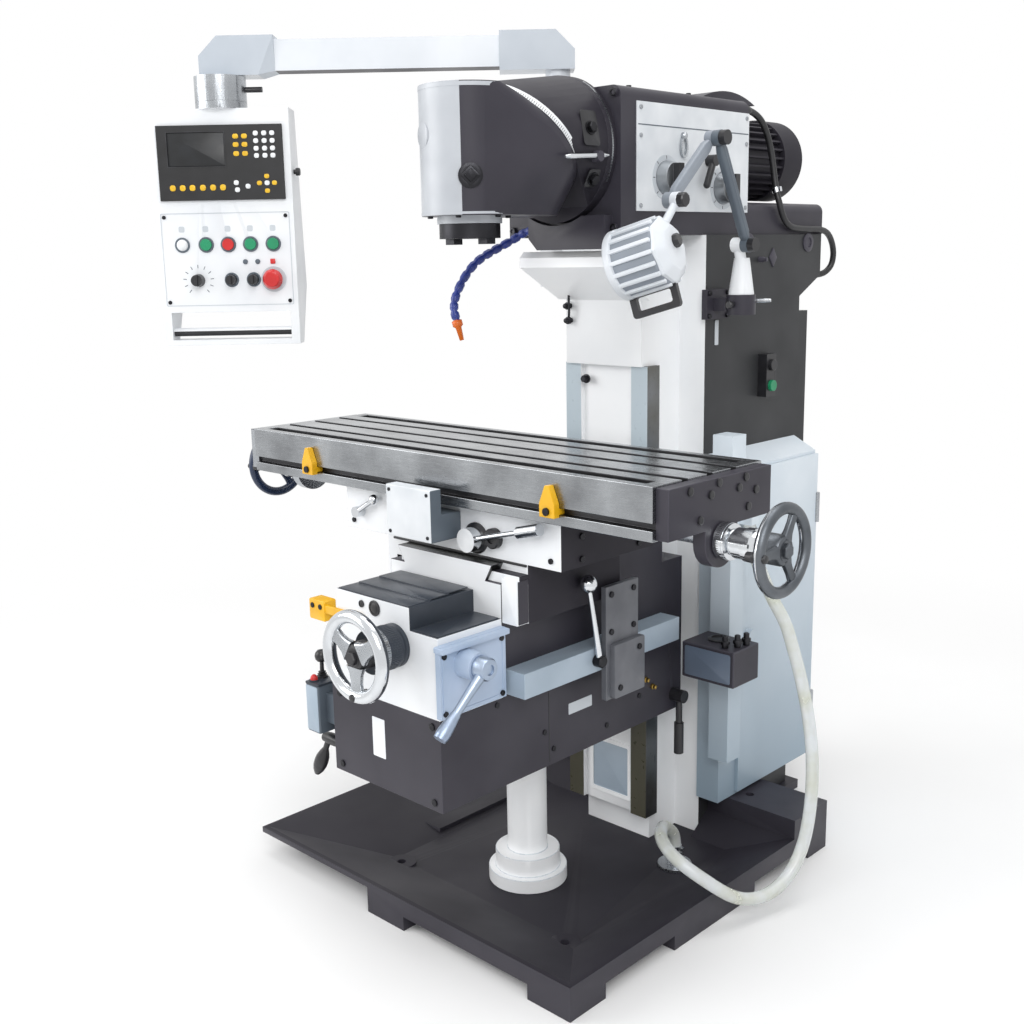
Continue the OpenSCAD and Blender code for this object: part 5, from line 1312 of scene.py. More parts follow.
    def crank(self) -> None:
        """Builds the elevating crank: a turned hub, a tapering arm and a conical grip."""
        at, aim = np.asarray(self.crank_at), np.asarray(self.crank_aim)
        hub = turned(((9.9, -34.5), (9.9, -15), (24, -15), (24, 9), (21, 14), (15, 15), (11, 15), (10, 11)), 40)
        hub = Seat(self.crank_at, RIGHT).carry(hub)
        arm = bar(at + aim * 14, at + aim * 112, (12, 10.5, 9.5, 9, 9))
        grip = bar(at + aim * 108, at + aim * self.crank_length, (10, 11, 12.2, 13.4, 14.4, 15, 15, 13.5))
        stand_in("elevating_crank", hub + arm + grip, [CRANK])

    def covers(self) -> None:
        """Adds the sliding way covers, the side plate's ledge and screws, and the trip plate's foot."""
        top = Seat((-25, 6, 819))
        leaves = [top.shifted(up=y, out=z).carry(plate(rounded(226 - 4 * i, 64, 3), 2.2, 0.8))
                  for i, (y, z) in enumerate(((-57, 0), (-4, 1.8), (52, 3.6)))]
        step = Seat((134, 6, 771)).carry(plate(rounded(74, 172, 3), 2.4, 0.8))
        build("gearbox_way_covers", joined(leaves) + step, "knee", [COVER])
        ledge = Seat((self.side, -1, 750), RIGHT).carry(box(190, 12, 26, 2))
        face = Seat((self.plate_face, 0, 0), RIGHT)
        inset_plate = face.shifted(-1, 676).carry(bezel(rounded(172, 128, 5), rounded(166, 122, 4), 1.4))
        build("side_plate_ledge", ledge + inset_plate, "knee", [SKY])
        corners = [(-82, 616), (80, 616), (-82, 736), (80, 736)]
        build_screws("side_plate_screws", screws(face, 6, 4, corners), "knee")
        foot = Seat((244, 420, 599), RIGHT).carry(box(108, 126, 14, 5))
        build("trip_plate_foot", foot, "knee", [PLATE_GREY])
        bolts = screws(Seat((258, 0, 0), RIGHT), 7, 4, [(384, 560), (452, 640)])
        upper = screws(Seat((244, 0, 0), RIGHT), 7, 4, [(370, 690), (448, 690), (370, 776), (448, 776)])
        build_screws("trip_plate_bolts", bolts + upper, "knee")

    def small_parts(self) -> None:
        """Adds the knee's seam, plugs, sight glass, bare plates and the yellow limit switches."""
        side = Seat((self.side, 0, 0), RIGHT)
        build("knee_seam", side.shifted(239, 500).carry(plate(rounded(2.4, 192, 1, 2), 0.6)), "knee", [BLACK])
        front = Seat((0, self.front, 0), FRONT)
        plugs = screws(side, 6.5, 2.5, [(78, 585), (438, 432), (224, 480), (253, 433), (560, 470)])
        plugs += screws(front, 8, 3, [(150, 580), (-150, 580), (150, 415), (-150, 415)])
        build_screws("knee_plug_screws", plugs, "knee")
        plates = side.shifted(344, 510).carry(plate(rounded(80, 26, 2), 0.8))
        plates = plates + front.shifted(-20, 511).carry(plate(rounded(40, 88, 2), 0.8)).toned(1)
        build("knee_bare_plates", plates, "knee", [GREY, WHITE])
        nipple = turned(((7, -1), (7, 5), (5, 6), (5, 12), (3, 13)), 18)
        build("knee_oil_nipples", side.carry(nipple.spread([(582, 505, 0), (610, 480, 0)])), "knee", [BRASS])
        glass = front.shifted(-16, 798).carry(lens_lamp(13, 4)) + front.shifted(-58, 800).carry(lens_lamp(6, 3))
        build("gearbox_sight_glass", glass, "knee", [BLACK, PANEL])
        case = Seat((-204, -62, 760), FRONT).carry(box(54, 46, 32, 4))
        rod = front.shifted(-114, 766).carry(box(128, 18, 7, 2))
        build("limit_switch_case", case + rod, "knee", [YELLOW])
        heads = screws(Seat((-204, -94, 760), FRONT), 6, 2, [(-14, 9), (13, 9)])
        heads += screws(front.shifted(-66, 766, 7), 5, 3, [(0, 0), (-52, 0)])
        build_screws("limit_switch_screws", heads, "knee")

    def switch_box(self) -> None:
        """Builds the switch box on the knee's left: pale front, slate sides, a dark lid with its lamp, and its arm."""
        low, size = np.asarray(self.switch_low), np.asarray(self.switch_size)
        foot = low + size * (0.5, 0.5, 0)
        case = Seat(foot).carry(plate(rounded(size[0], size[1], 4), size[2] - 4, 1))
        front = plate(rounded(size[0] - 5, size[2] - 10, 3), 1.6, 0.8)
        front = Seat(low + size * (0.5, 0, 0.48), FRONT).carry(front)
        lid = Seat(foot + (0, 0, size[2] - 5)).carry(plate(rounded(size[0] + 2, size[1] + 2, 4), 5, 1.2))
        arm = Seat((-self.side, -58, 520), LEFT).carry(box(14, 70, -self.side - low[0] - size[0] + 2, 2))
        pilot = Seat((low[0] + 14, low[1] + 14, 579)).carry(lens_lamp(9, 15)).retoned((2, 4))
        stand_in("knee_switch_box", case + front.toned(1) + lid.toned(2) + arm.toned(3) + pilot,
                 [SLATE, RAIL, COVER, SLATE, RED])

    def make(self) -> None:
        """Builds the knee."""
        self.castings()
        self.levers()
        self.cross_wheel()
        self.crank()
        self.covers()
        self.small_parts()
        self.switch_box()


@dataclass
class Saddle:
    """Saddle casting with its switch box and levers."""

    front: float = 130.0
    right: float = 312.0
    way_foot: float = 989.0
    box_back: float = 75.0
    lever_hub: Vec = (72.0, 922.0)
    hub_radius: float = 24.0

    def castings(self) -> None:
        """Dresses the saddle, its switch box and its plated levers."""
        # the saddle takes the darker enamel as painted shade under the table
        soften("saddle", DARK_OILY_AND_SHADED, 2.5,
               [Coat(WHITE, lambda c, n: n[:, 1] < -0.7), Coat(WAYS, lambda c, n: c[:, 2] > self.way_foot)])
        soften("saddle_switch_box", WORN_WHITE, 2.5,
               [Coat(SLATE, lambda c, n: (n[:, 0] > 0.9) | (c[:, 1] > self.box_back))])
        x, z = self.lever_hub
        cap = Coat(KEY_WHITE, lambda c, n: (n[:, 1] < -0.95) & (np.hypot(c[:, 0] - x, c[:, 2] - z) < self.hub_radius))
        soften("table_feed_lever", CHROME, 0.8, [cap])
        soften("table_clamp_lever", CHROME, 0.8)

    def fittings(self) -> None:
        """Adds the screws, the discs behind the levers, the wiper and the skirt's end."""
        heads = screws(Seat((self.right, 0, 0), RIGHT), 7, 4, product((193, 380), (902, 950)))
        heads += screws(Seat((0, self.front, 0), FRONT), 6, 4, [(-340, 905), (285, 905)])
        heads += screws(Seat((0, 42, 0), FRONT), 4, 2, product((-106, 14), (928, 1020)))
        build_screws("saddle_screws", heads, "saddle")
        hub = turned(((34, -1), (34, 4), (30, 7), (27, 7)), 40)
        disc = Seat((self.lever_hub[0], self.front, self.lever_hub[1]), FRONT).carry(hub)
        second = Seat((128, self.front, 930), FRONT).carry(
            turned(((22, -1), (22, 12), (19, 15), (10, 15), (9, 11)), 36))
        build("feed_lever_quadrant", disc + second, "saddle", [BLACK])
        wiper = Seat((10, self.front, 883.7), FRONT).carry(plate(rounded(416, 5, 1.5), 3, 0.6))
        build("saddle_wiper", wiper, "saddle", [RUBBER])
        skirt = Seat((198, self.front, 810), FRONT).carry(box(44, 96, 34, 2))
        side = Seat((220.2, self.front - 16, 810), RIGHT).carry(plate(rounded(30, 92, 2), 0.6))
        build("saddle_skirt_end", skirt + side.toned(1), "saddle", [WHITE, DARK])

    def make(self) -> None:
        """Builds the saddle."""
        self.castings()
        self.fittings()


# ---------------------------------------------------------------- table


@dataclass
class Table:
    """Ground table with its brackets, screw, handwheels and dogs."""

    ends: tuple[float, float] = (-688.0, 562.0)
    bracket: float = 29.0
    top: float = 1095.3
    middle: float = 280.0
    screw_z: float = 968.0
    collar: float = 98.0
    collar_radius: float = 30.0
    left_zone: float = -600.0
    slot_zone: Vec = (105.0, 455.0)
    groove_zone: Vec = (101.0, 130.0)
    groove_top: float = 1040.0
    dog_shares: Vec = (0.187, 0.803)
    bolt_places: tuple[Vec, ...] = ((175, 1078), (242, 1062), (268, 1082), (336, 1062), (359, 1080), (369, 1020),
                                    (208, 1018), (395, 1050))

    def castings(self) -> None:
        """Dresses the table, its brackets, its screw and the dogs in its front slot."""
        (slot_front, slot_rear), (groove_front, groove_rear) = self.slot_zone, self.groove_zone
        # the slots' walls and floors and the front groove take the dark slot iron: painted shade
        slots = Coat(SLOT_SHADE, lambda c, n: (n[:, 2] < 0.5) & (c[:, 1] > slot_front) & (c[:, 1] < slot_rear)
                     & (np.abs(n[:, 0]) < 0.5))
        floors = Coat(SLOT_SHADE, lambda c, n: (n[:, 2] > 0.5) & (c[:, 2] < self.top - 2))
        groove = Coat(SLOT_SHADE, lambda c, n: (c[:, 1] < groove_rear) & (c[:, 1] > groove_front)
                      & (c[:, 2] < self.groove_top))
        soften("table", TABLE, 1.5, [slots, floors, groove])
        soften("table_end_brackets", DARK, 2.0, [Coat(STEEL, lambda c, n: c[:, 0] < self.left_zone)],
               DARK_EDGE)
        soften("table_leadscrew", STEEL, 0.5)
        soften("trip_dogs", YELLOW, 1.5)

    def wheel(self, end: int) -> Patch:
        """Returns the handwheel and its graduated collars at the left (0) or right (1) end."""
        out = 1.0 if end else -1.0
        seat = Seat((self.ends[end] + out * (self.bracket + 0.3), self.middle, self.screw_z), (out, 0, 0), REAR)
        r = self.collar_radius + np.array((-17.4, 0, 6, 6, 0, -3, -3, 0, 0, 3, 3, 0, -4, -17.4))
        r = np.minimum(r, 36.0)
        h = np.array((0, 0, 3, 26, 29, 30, 36, 37, 58, 60, 78, 80, self.collar, self.collar))
        rings = turned(list(zip(r, h)), 56).toned(4)
        marks = scale_band(self.collar_radius + 6, 14, 0, 360, 50).retoned((5, 6)).spread([(0, 0, 14)])
        # on the right wheel the rim's outer half is dark aluminium and its back half chrome: painted shade and painted
        # highlight on one rim
        wheel = Handwheel(79.5, 11.5, front_tone=1).whole().spread([(0, 0, self.collar)])
        return seat.carry(rings + marks + wheel)

    def wheels(self) -> None:
        """Builds both handwheels on plated collars: the right one plated with dark spokes, the left one navy."""
        right = self.wheel(1)
        left = self.wheel(0).retoned((7, 7, 7, 3, 4, 5, 6))
        finishes = [CHROME, CAST_DARK, CAST_DARK, BLACK, CHROME, CHROME, BLACK, NAVY]
        stand_in("table_handwheels", right + left, finishes)

    def screws(self) -> None:
        """Sets the brackets' bolts and the dogs' clamp screws."""
        bolts = screws(Seat((self.ends[1] + self.bracket, 0, 0), RIGHT), 8.5, 4, self.bolt_places)
        mirrored = [(-y, z) for y, z in self.bolt_places]
        bolts += screws(Seat((self.ends[0] - self.bracket, 0, 0), LEFT), 8.5, 4, mirrored)
        build("bracket_bolts", bolts, "table", [BLACK, BLACK])
        long = self.ends[1] - self.ends[0]
        dogs = [(self.ends[0] + long * share, 0) for share in self.dog_shares]
        build_screws("dog_clamp_screws", screws(Seat((0, 84, 1019), FRONT), 8, 5, dogs), "table")

    def make(self) -> None:
        """Builds the table."""
        self.castings()
        self.wheels()
        self.screws()


# ---------------------------------------------------------------- ram and head


@dataclass
class Ram:
    """Ram with its motor, side panel, knobs and coolant pipe."""

    half: float = 168.0
    front: float = 498.0
    rear: float = 988.0
    panel_face: float = 172.0
    motor_z: float = 1742.3
    fan_face: float = 1373.0
    knobs: tuple[Vec, ...] = ((654.6, 1672.3, 0), (877.0, 1655.3, 0))
    knob_split: float = 198.5
    nozzle_top: float = 1366.0

    def castings(self) -> None:
        """Dresses the ram, its panel, motor, knobs and pipe."""
        soften("ram", DARK, 3.5, rubbed=DARK_EDGE)
        soften("ram_side_panel", WORN_WHITE, 1.0)
        soften("drive_motor", DARK_OILY_AND_SHADED, 1.5)
        for node in ("speed_knob_front", "speed_knob_rear"):
            soften(node, CAST, 1.5, [Coat(BLACK, lambda c, n: c[:, 0] > self.knob_split)])
        soften("ram_clamp_handle", BLACK, 1.0)
        nozzle = Coat(ORANGE, lambda c, n: c[:, 2] < self.nozzle_top)
        soften("coolant_pipe", BLUE, 0.0, [nozzle], angle=60.0)

    def panel_details(self) -> None:
        """Adds the panel's seam and screws, the knobs' index rings and the pull ring between them."""
        face = Seat((self.panel_face, 0, 0), RIGHT)
        build("panel_seam", face.shifted(768, 1783).carry(plate(rounded(430, 2.4, 1, 2), 0.5)), "ram", [SLATE])
        heads = screws(face, 5, 3, [(y, z) for z in (1611, 1819, 1760) for y in (562, 974)])
        # steel heads with black sockets: painted shade in the sockets
        build("panel_screws", heads, "ram", [STEEL, BLACK])
        rings = turned(((40, 0), (50, 0), (50, 1), (40, 1)), 56, around=True).spread(self.knobs)
        ticks = tick_ring(45, 7, 1.6, range(0, 360, 45), 1.4).spread(self.knobs)
        build("knob_index_rings", face.carry(rings + ticks.toned(1)), "ram", [GREY, BLACK])
        a = np.linspace(0, 2 * math.pi, 36, endpoint=False)
        loop = np.stack((13 * np.cos(a), 24 * np.sin(a)), -1)
        pull = face.shifted(716, 1742).carry(layers((loop, loop, inset(loop, 5), inset(loop, 5)), (2, 7, 7, 2), True))
        stub = face.shifted(716, 1766).carry(turned(((8, -1), (8, 8), (5, 11)), 20))
        build("panel_pull_ring", pull + stub, "ram", [STEEL])

    def motor_details(self) -> None:
        """Adds the fan cover's grille, the motor's flange bolts and the clip that holds its cable."""
        rear = Seat((0, self.fan_face, self.motor_z), REAR)
        rings = joined([turned(((r, -1), (r + 5, -1), (r + 5, 2), (r, 2)), 56, around=True)
                        for r in (14, 28, 42, 56, 70)])
        spokes = plate(rounded(64, 4, 1), 2).spread([(44, 0, 0)]).spun(range(0, 360, 45))
        build("fan_grille", rear.carry(rings + spokes), "ram", [DARK_EDGE])
        bolts = cap_screw(7, 7).spread([(107, 0, 0)]).spun((45, 135, 225, 315))
        build_screws("motor_flange_bolts", Seat((0, self.rear + 20, self.motor_z), REAR).carry(bolts), "ram")
        clip = turned(((8.3, -6), (11, -6), (11, 6), (8.3, 6)), 28, around=True)
        tab = Seat((-10, 0, 0), LEFT).carry(plate(rounded(10, 12, 2), 4))
        build("cable_clip", Seat((169, 1118, 1656), (0.2, 0, -1), REAR).carry(clip + tab), "ram", [CHROME])

    def top_details(self) -> None:
        """Adds the dome cover's screws and the sockets in the ram's corner bolts."""
        build_screws("ram_top_screws", screws(Seat((0, 0, 1862.3)), 6, 4, product((-140, 140), (560, 780))), "ram")
        corners = [(x, z, 0) for x, z in product((-152, 152), (1563.3, 1846.3))]
        sockets = turned(((9, -1), (9, 1), (7.6, 2), (5, 2), (4.4, -0.5)), 24).spread(corners)
        build("ram_corner_sockets", Seat((0, self.front - 7, 0), FRONT).carry(sockets), "ram", [BLUED])

    def make(self) -> None:
        """Builds the ram."""
        self.castings()
        self.panel_details()
        self.motor_details()
        self.top_details()


@dataclass
class Head:
    """Swivel body, spindle head and spindle."""

    axis_y: float = 203.0
    front_radius: float = 100.0
    top: float = 1850.3
    bottom: float = 1591.3
    joint: Vec = (0.0, 338.0, 1742.3)
    joint_out: Vec = (0.0, 1.0, 1.0)
    joint_radius: float = 154.0
    flange_y: float = 484.0
    flange_radius: float = 158.0
    head_z: float = 1735.3

    def on_front(self, degrees: float, z: float, sunk: float = 0.0) -> Seat:
        """Returns a seat on the head's front cylinder, at an angle and a height."""
        out = heading(degrees)
        return Seat(np.array((0.0, self.axis_y, z)) + out * (self.front_radius - sunk), out)

    def castings(self) -> None:
        """Dresses both castings; the front of the spindle head is silver, partly as its own lighter front and partly as
        a painted reflection on its dark enamel.
        """
        soften("swivel_body", DARK_OILY_AND_SHADED, 2.5, rubbed=DARK_EDGE)
        # faces that look forward are painted silver: partly a lighter front, partly a painted reflection of the lamps
        # on the dark enamel
        front = Coat(SILVER_AND_HIGHLIGHT, lambda c, n: (np.abs(n[:, 2]) < 0.6) & (c[:, 1] < self.axis_y)
                     & ((n[:, 1] < -0.76) | ((n[:, 0] < 0) & (n[:, 1] < -0.3))))
        ring = Coat(SILVER_AND_HIGHLIGHT, lambda c, n: c[:, 2] < self.bottom - 0.5)
        soften("spindle_head", DARK, 2.5, [front, ring])
        soften("spindle", BLUED, 1.0)

    def scales(self) -> None:
        """Wraps the angle scales round the oblique joint and the swivel flange."""
        # the frame's X runs to the right of the machine, its Y down and back along the joint's face
        seat = Seat(self.joint, self.joint_out, (0.0, 1.0, -1.0))
        oblique = seat.shifted(out=7.6).carry(scale_band(self.joint_radius, 13, -115, 18, 66, 0.8))
        build("oblique_joint_scale", oblique, "swivel_body", [KEY_WHITE, BLACK])
        flange = Seat((0, self.flange_y, self.head_z), FRONT)
        swivel = flange.carry(scale_band(self.flange_radius, 5, -28, 62, 45, 0.6))
        build("swivel_flange_scale", swivel, "swivel_body", [STEEL, BLACK])

    def painted_edge_highlights(self) -> None:
        """Adds thin light bands at the head's top and bottom edges, on the front cylinder: painted highlights along
        those edges.
        """
        rims = [Seat((0, self.axis_y, z)).carry(scale_band(self.front_radius, h, -178, -2, 0, 0.6))
                for z, h in ((self.top - 6, 8), (self.bottom + 4, 5))]
        build("head_edge_highlight_bands", rims[0] + rims[1], "spindle_head", [SILVER_AND_HIGHLIGHT])

    def fittings(self) -> None:
        """Adds the clamp pockets as black plates of painted shade, the turning bar, the square plug, the bare disc and
        the nose's screws.
        """
        high = Seat((152.5, 414, 1768), (0.98, 0, 0.2))
        low = Seat((139, 437, 1667), (0.878, 0, -0.479))  # clear of the head after half a turn
        # black plates where the clamp bolts sit: painted shade of their pockets
        pockets = high.carry(plate(rounded(52, 74, 8), 1.4, 0.6)) + low.carry(plate(rounded(38, 42, 7), 1.4, 0.6))
        build("clamp_pocket_shade_plates", pockets, "swivel_body", [BLACK])
        build("clamp_pocket_bolts", at_each(hex_head(12, 12), [high.shifted(out=1), low.shifted(out=1)]), "swivel_body",
              [BLUED])
        rod = bar((163, 322, 1706), (163, 462, 1714), (3, 5.6, 6, 6, 6, 6, 6, 6, 5.6, 3))
        boss = bar((146, 430, 1711), (170, 430, 1711), (12, 12, 11))
        build("swivel_turning_bar", rod + boss.toned(1), "swivel_body", [CHROME, DARK_EDGE])
        plug = plate(rounded(30, 30, 3), 5, 1.5) + plate(rounded(20, 20, 2), 13, 2)
        ring = turned(((25, -2), (25, 2), (21, 3.5), (17, 3.5)), 36)
        build("head_square_plug", self.on_front(-42, 1668).carry(plug.spun((45,)) + ring), "spindle_head", [BLUED])
        dial = turned(((27, -1), (27, 2), (24, 4), (3, 4)), 40)
        build("head_bare_disc", self.on_front(-112, 1752, 3).carry(dial), "spindle_head", [SILVER_AND_HIGHLIGHT])
        nose = cap_screw(6, 5).spread([(84, 0, 0)]).spun(range(0, 360, 60))
        build_screws("nose_ring_screws", Seat((0, self.axis_y, self.bottom), DOWN).carry(nose), "spindle_head")

    def make(self) -> None:
        """Builds the head."""
        self.castings()
        self.scales()
        self.painted_edge_highlights()
        self.fittings()


# ---------------------------------------------------------------- pendant and lamp


@dataclass
class Pendant:
    """Control pendant on its swinging arm."""

    turn: float = 44.0  # degrees from the machine's X axis
    post: Vec = (-315.0, 840.0)
    reach: float = 872.0
    arm_foot: float = 80.5  # from the box's top to the tube's underside
    elbow: float = 151.0
    lever_end: float = 108.0
    lever_tip: Vec = (67.0, 163.0)
    stub_radius: float = 27.0
    stub_slack: float = 0.06  # share of its radius
    grip_top: float = 1325.0
    grip_half: float = 150.0
    top: float = 1889.3
    width: float = 359.0
    face_front: float = 46.0
    readout: Vec = (324.0, 187.0)
    readout_drop: float = 41.0
    readout_thick: float = 8.0
    screen_x: float = -61.6
    screen: Vec = (146.0, 84.0)
    screen_drop: float = 18.0
    push_shares: tuple[float, ...] = (-0.147, 0.014, 0.176, 0.341)
    push_drop: float = 340.0
    knob_drop: float = 431.0
    soft_keys: tuple[float, ...] = (0.108, 0.187, 0.265, 0.348, 0.429, 0.508)
    axis_keys: tuple[float, ...] = (0.155, 0.265, 0.385)
    digit_keys: tuple[float, ...] = (0.12, 0.22, 0.32, 0.415)

    def along(self) -> np.ndarray:
        """Returns the arm's direction, from the pendant to the post."""
        return heading(self.turn)

    def face(self) -> Seat:
        """Returns the seat at the middle of the face's top edge."""
        along = self.along()
        out = np.array((along[1], -along[0], 0.0))
        origin = np.array((*self.post, self.top)) - self.reach * along
        return Seat(origin + out * self.face_front, out)

    def castings(self) -> None:
        """Dresses the arm, the box and what is set in it."""
        along, post = self.along(), np.array((*self.post, 0.0))
        lower = self.top + self.arm_foot

        def place(c: np.ndarray) -> np.ndarray:
            """Returns how far each face lies along the arm from the post."""
            return (c - post) @ along

        elbows = Coat(GREY_BLUE, lambda c, n: (c[:, 2] > lower)
                      & ((place(c) > -self.elbow) | (place(c) < self.elbow - self.reach)))
        # the beam's underside is painted dark: painted shade under the white beam
        painted_shade_under = Coat(DARK, lambda c, n: (n[:, 2] < -0.9) & (c[:, 2] > lower) & (place(c) < 1 - self.elbow)
                     & (place(c) > self.elbow - 1 - self.reach))
        swivel = Coat(STEEL, lambda c, n: (c[:, 2] < lower) & (place(c) < -self.reach / 2))
        tip = Coat(BLACK, lambda c, n: (c[:, 2] < lower) & (place(c) < self.lever_tip[1] - self.reach)
                   & (place(c) > self.lever_tip[0] - self.reach))

        def short_lever(points: np.ndarray) -> np.ndarray:
            """Returns the points with the clamp lever drawn in to its length."""
            at_swivel = (points[:, 2] < lower) & (place(points) < -self.reach / 2)
            excess = np.where(at_swivel, np.maximum(place(points) + self.reach - self.lever_end, 0), 0)
            return points - excess[:, None] * along

        soften("pendant_arm", WHITE_DIMMED_FOR_LIGHT, 3.0, [elbows, painted_shade_under, swivel, tip], shape=short_lever)
        axis = post - self.reach * along

        def slim_stub(points: np.ndarray) -> np.ndarray:
            """Returns the points with the hidden stub a little slimmer, so its facets turn freely in their bore."""
            away = (points - axis) * (1.0, 1.0, 0.0)
            on_stub = (points[:, 2] > self.top) & (np.linalg.norm(away, axis=1) < self.stub_radius)
            return points - self.stub_slack * away * on_stub[:, None]

        collar = Coat(STEEL, lambda c, n: c[:, 2] > self.top + 0.5)
        grip = Coat(BLACK, lambda c, n: (c[:, 2] < self.grip_top) & (np.abs(n[:, 2]) < 0.98)
                    & (np.abs(place(c) + self.reach) < self.grip_half))
        soften("pendant_box", WHITE, 4.0, [collar, grip], shape=slim_stub)
        soften("readout_unit", PANEL, 1.5)

    def controls(self) -> None:
        """Dresses the buttons, the stop, the dial and the selectors, and rings them with collars; a grey disc round the
        stop is painted shadow.
        """
        for number, finish in enumerate((GREEN, RED, GREEN, GREEN), 1):
            soften(f"push_button_{number}", finish, 1.5)
        soften("emergency_stop", RED, 2.5)
        for node in ("feed_dial", "selector_left", "selector_right"):
            soften(node, BLACK, 1.0)
        face = self.face()
        collar = turned(((15.7, 0), (20, 0), (20, 3), (18.6, 4.4), (15.7, 4.4)), 40, around=True)
        ring = turned(((14.6, 0), (19, 0), (18, 2.4), (14.6, 2.4)), 40, around=True)
        places = [(s * self.width, -self.push_drop, 0) for s in self.push_shares]
        stops = [(s * self.width, -self.knob_drop, 0) for s in (0.022, 0.183)]
        build("button_collars", face.carry(collar.spread(places) + ring.spread(stops)), "pendant", [SLATE])
        # a grey disc round the emergency stop: painted shadow round its dome
        disc = turned(((14, 0), (33, 0), (33, 1.2), (14, 1.2)), 48, around=True)
        stop = face.shifted(0.33 * self.width, -self.knob_drop).carry(disc)
        build("stop_shadow_disc", stop, "pendant", [GREY])
        lamp = face.shifted(-0.32 * self.width, -self.push_drop).carry(lens_lamp(15, 9))
        build("power_lamp", lamp, "pendant", [SLATE, KEY_WHITE])
        ticks = tick_ring(36, 9, 1.8, range(-50, 231, 28), 0.4)
        build("feed_dial_marks", face.shifted(-0.22 * self.width, -self.knob_drop).carry(ticks), "pendant",
              [SLATE])
        small = [(0.13 * self.width, -385, 0), (0.22 * self.width, -385, 0)]
        pilots = turned(((6.5, 0), (6.5, 3), (5, 4.4), (1, 4.8)), 24).spread(small)
        square = box(13, 13, 3, 2).spread([(0.33 * self.width, -385, 0)])
        build("pilot_lights", face.carry(pilots + square.toned(1)), "pendant", [SLATE, RED])
        signs = plate(rounded(15, 15, 4), 0.5).spread([(s * self.width, -300, 0) for s in (-0.32,) + self.push_shares])
        build("button_sign_discs", face.carry(signs), "pendant", [GREY])

    def keypad(self) -> None:
        """Lays the screen and the key groups on the readout, each key a rounded cap."""
        wide, high = self.readout
        front = self.face().shifted(-wide / 2, -self.readout_drop, self.readout_thick)

        def keys(width: float, height: float, spots: Iterable[Vec]) -> Patch:
            """Returns key caps at shares of the readout's width and height."""
            caps = plate(rounded(width, height, 0.4 * height), 2.2, 1.0)
            return front.carry(caps.spread([(u * wide, -v * high, -0.4) for u, v in spots]))

        yellow = keys(15, 15, [(u, 0.83) for u in self.soft_keys])
        yellow += keys(15, 12, product((0.63, 0.70), self.axis_keys))
        yellow += keys(13, 11, [(0.861, 0.69), (0.861, 0.885), (0.80, 0.78), (0.92, 0.78)])
        white = keys(13, 12, product((0.79, 0.857, 0.92), self.digit_keys))
        white += keys(13, 12, [(0.616, 0.77), (0.622, 0.865), (0.708, 0.82), (0.861, 0.78)])
        build("readout_keys", yellow + white.toned(1), "pendant", [KEY_YELLOW, KEY_WHITE])
        at = front.shifted(wide / 2 + self.screen_x, -self.screen_drop - self.screen[1] / 2, -2.9)
        glass = at.carry(plate(rounded(self.screen[0] - 1, self.screen[1] - 1, 2), 1.2, 0.6))
        build("readout_screen", glass, "pendant", [GLASS])
        rim = at.shifted(out=2.6).carry(bezel(rounded(152, 90, 3), rounded(146.5, 84.5, 2), 1.0))
        build("readout_bezel", rim, "pendant", [BLACK])

    def shell(self) -> None:
        """Adds the lower plate's seam and screws, and the side knob."""
        face = self.face()
        lower = face.shifted(0, -378)
        build("pendant_plate_seam", lower.carry(bezel(rounded(336, 238, 4), rounded(332, 234, 3), 0.8)), "pendant",
              [GREY])
        build_screws("pendant_screws", screws(lower, 5, 3, product((-158, 158), (-109, 109))), "pendant")
        along = self.along()
        side = Seat(np.asarray(face.at) + along * self.width / 2 - np.asarray(face.out) * 36 - (0, 0, 158), along)
        knob = turned(((6, -1), (6, 5), (10, 6), (10, 15), (8, 17), (3, 17)), 28)
        build("pendant_side_knob", side.carry(knob), "pendant", [BLACK])

    def make(self) -> None:
        """Builds the pendant."""
        self.castings()
        self.controls()
        self.keypad()
        self.shell()


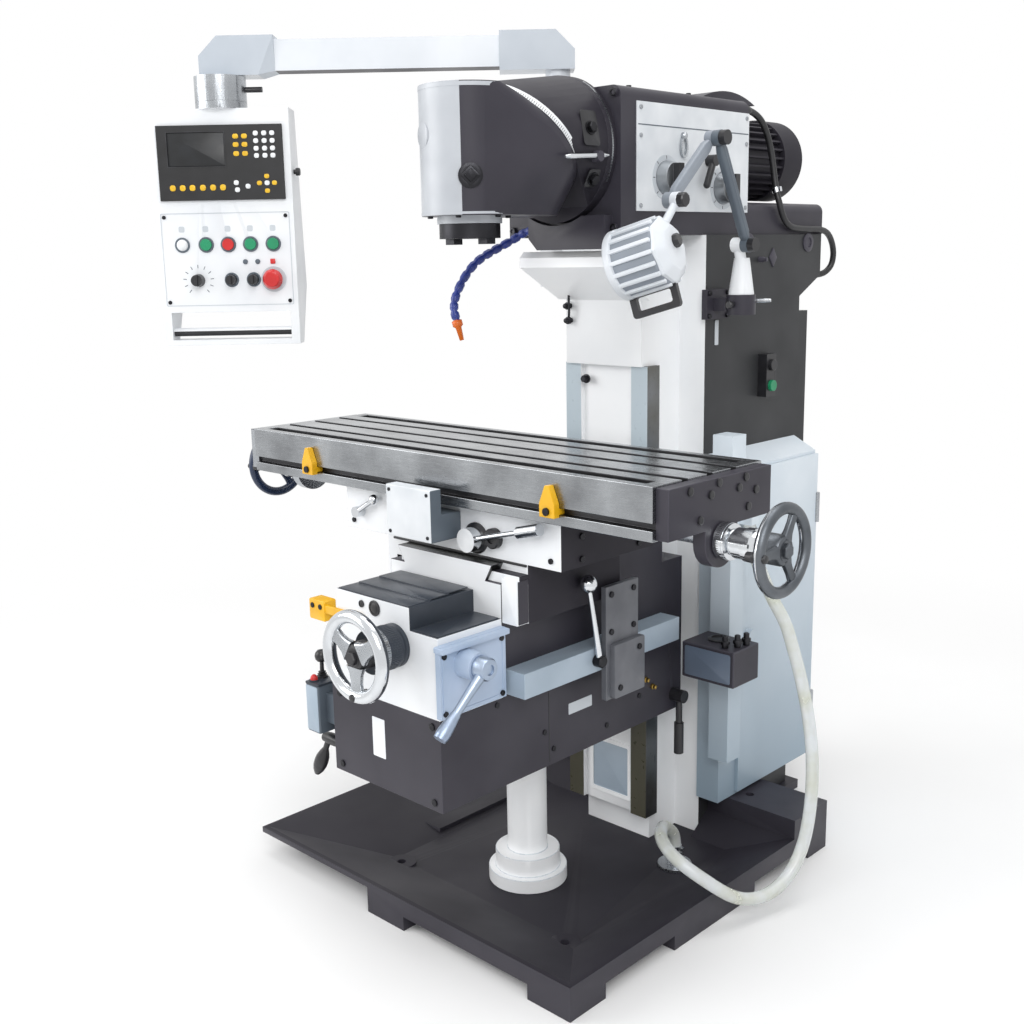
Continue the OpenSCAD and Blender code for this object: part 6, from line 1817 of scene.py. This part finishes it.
@dataclass
class Lamp:
    """Jointed work lamp on the column's side."""

    centre: Vec = (280.3, 447.0, 1500.0)
    turn: float = 12.0  # degrees; the glass looks across the table
    tilt: float = 16.0
    arm_x: float = 271.3
    pivot: Vec = (820.0, 1522.0)
    elbow: Vec = (700.0, 1753.0)
    neck: Vec = (548.0, 1618.0)

    def ahead(self) -> np.ndarray:
        """Returns the way from the lamp's glass to its back."""
        return heading(self.turn, self.tilt)

    def arms(self) -> None:
        """Dresses the swivel and its arms, with black clamp knobs and square tubes over the bars."""
        soften("lamp_swivel", WHITE, 1.5)
        knobs = Coat(BLACK, lambda c, n: c[:, 0] > self.arm_x + 18.2)
        soften("lamp_lower_arm", SLATE, 1.0, [knobs])
        soften("lamp_upper_arm", ARM, 1.0)
        for name, x, start, end, finish in (("lower", self.arm_x + 9, self.pivot, self.elbow, SLATE),
                                            ("upper", self.arm_x - 9.3, self.elbow, self.neck, ARM)):
            line = np.array((0.0, end[0] - start[0], end[1] - start[1]))
            long = float(np.linalg.norm(line))
            skin = layers([rounded(w, 17, 4) for w in (18, 27, 27, 18)], (16, 30, long - 30, long - 16))
            seat = Seat((x, *start), line, RIGHT)
            build(f"lamp_{name}_tube", seat.carry(skin), f"lamp_{name}_arm", [finish], 1.0)

    def head(self) -> None:
        """Builds the lamp head: a ribbed drum with a faceted back, a loop handle, and the knuckle at its neck."""
        ahead, centre = self.ahead(), np.asarray(self.centre)
        seat = Seat(centre, ahead)  # its Z runs backwards along the drum, its Y up
        drum = turned(((71, -50), (70.5, -46), (70.5, 42), (66, 46)), 56).toned(3)
        rim = turned(((60, -64), (66, -67), (74, -67), (76, -64), (76, -52), (71, -49)), 56)
        rib = Seat((69, 0, -4), RIGHT).carry(plate(rounded(9, 98, 2.5), 6.5, 1.6)).spun(np.arange(0, 360, 20))
        back = turned(((69, 40), (72, 46), (70, 52), (50, 66), (46, 67), (20, 67)), 48, corners=8)
        lens = turned(((64, -62), (62, -64), (40, -67), (8, -68)), 48).toned(2)
        knob = Seat((4, 14, 66)).carry(turned(((15, -1), (15, 9), (12, 13), (3, 13)), 24, corners=8)).toned(1)
        loop = bezel(rounded(112, 56, 8), rounded(82, 28, 5), 12)
        loop = Seat((-6, -90, -6), RIGHT, REAR).carry(loop).toned(1)
        neck = np.array((self.arm_x, *self.neck))
        knuckle = Seat(neck, RIGHT).carry(turned(((5, 0), (16, 0), (17, 1), (17, 17), (16, 18), (5, 18)), 36))
        clamp = Seat(neck + (18, 0, 0), RIGHT).carry(
            turned(((14, -0.5), (16, 0), (16, 13), (13.5, 16), (3, 16)), 30, corners=10)).toned(1)
        stem = bar(neck + (9, -8, -10), centre + 0.3 * (neck + (9, 0, 0) - centre), (9, 9, 10))
        stand_in("lamp_head", seat.carry(drum + rim + rib + back + lens + knob + loop) + knuckle + clamp + stem,
                 [WHITE_DIMMED_FOR_LIGHT, BLACK, LENS, ARM])
        cup = Seat((258, 801, 1386), FRONT).carry(turned(((6, -1), (6, 10), (9, 11), (9, 18), (7, 20)), 20))
        lever = bar((262, 850, 1392), (318, 868, 1394), (5, 5, 5, 5, 4))
        build("lamp_cup_lever", cup + lever.toned(1), "frame", [BLACK, CHROME])

    def make(self) -> None:
        """Builds the lamp."""
        self.arms()
        self.head()


def main() -> None:
    """Builds the studio, the cords and the machine, sub-assembly by sub-assembly."""
    logging.basicConfig(level=logging.INFO, format="%(message)s", stream=sys.stdout)
    studio = Studio()
    studio.camera()
    cords = Cords()
    cords.hose()
    cords.cable()
    for assembly in (StandingFrame(), Knee(), Saddle(), Table(), Ram(), Head(), Pendant(), Lamp()):
        assembly.make()
    studio.set_up()


if __name__ == "__main__":
    main()
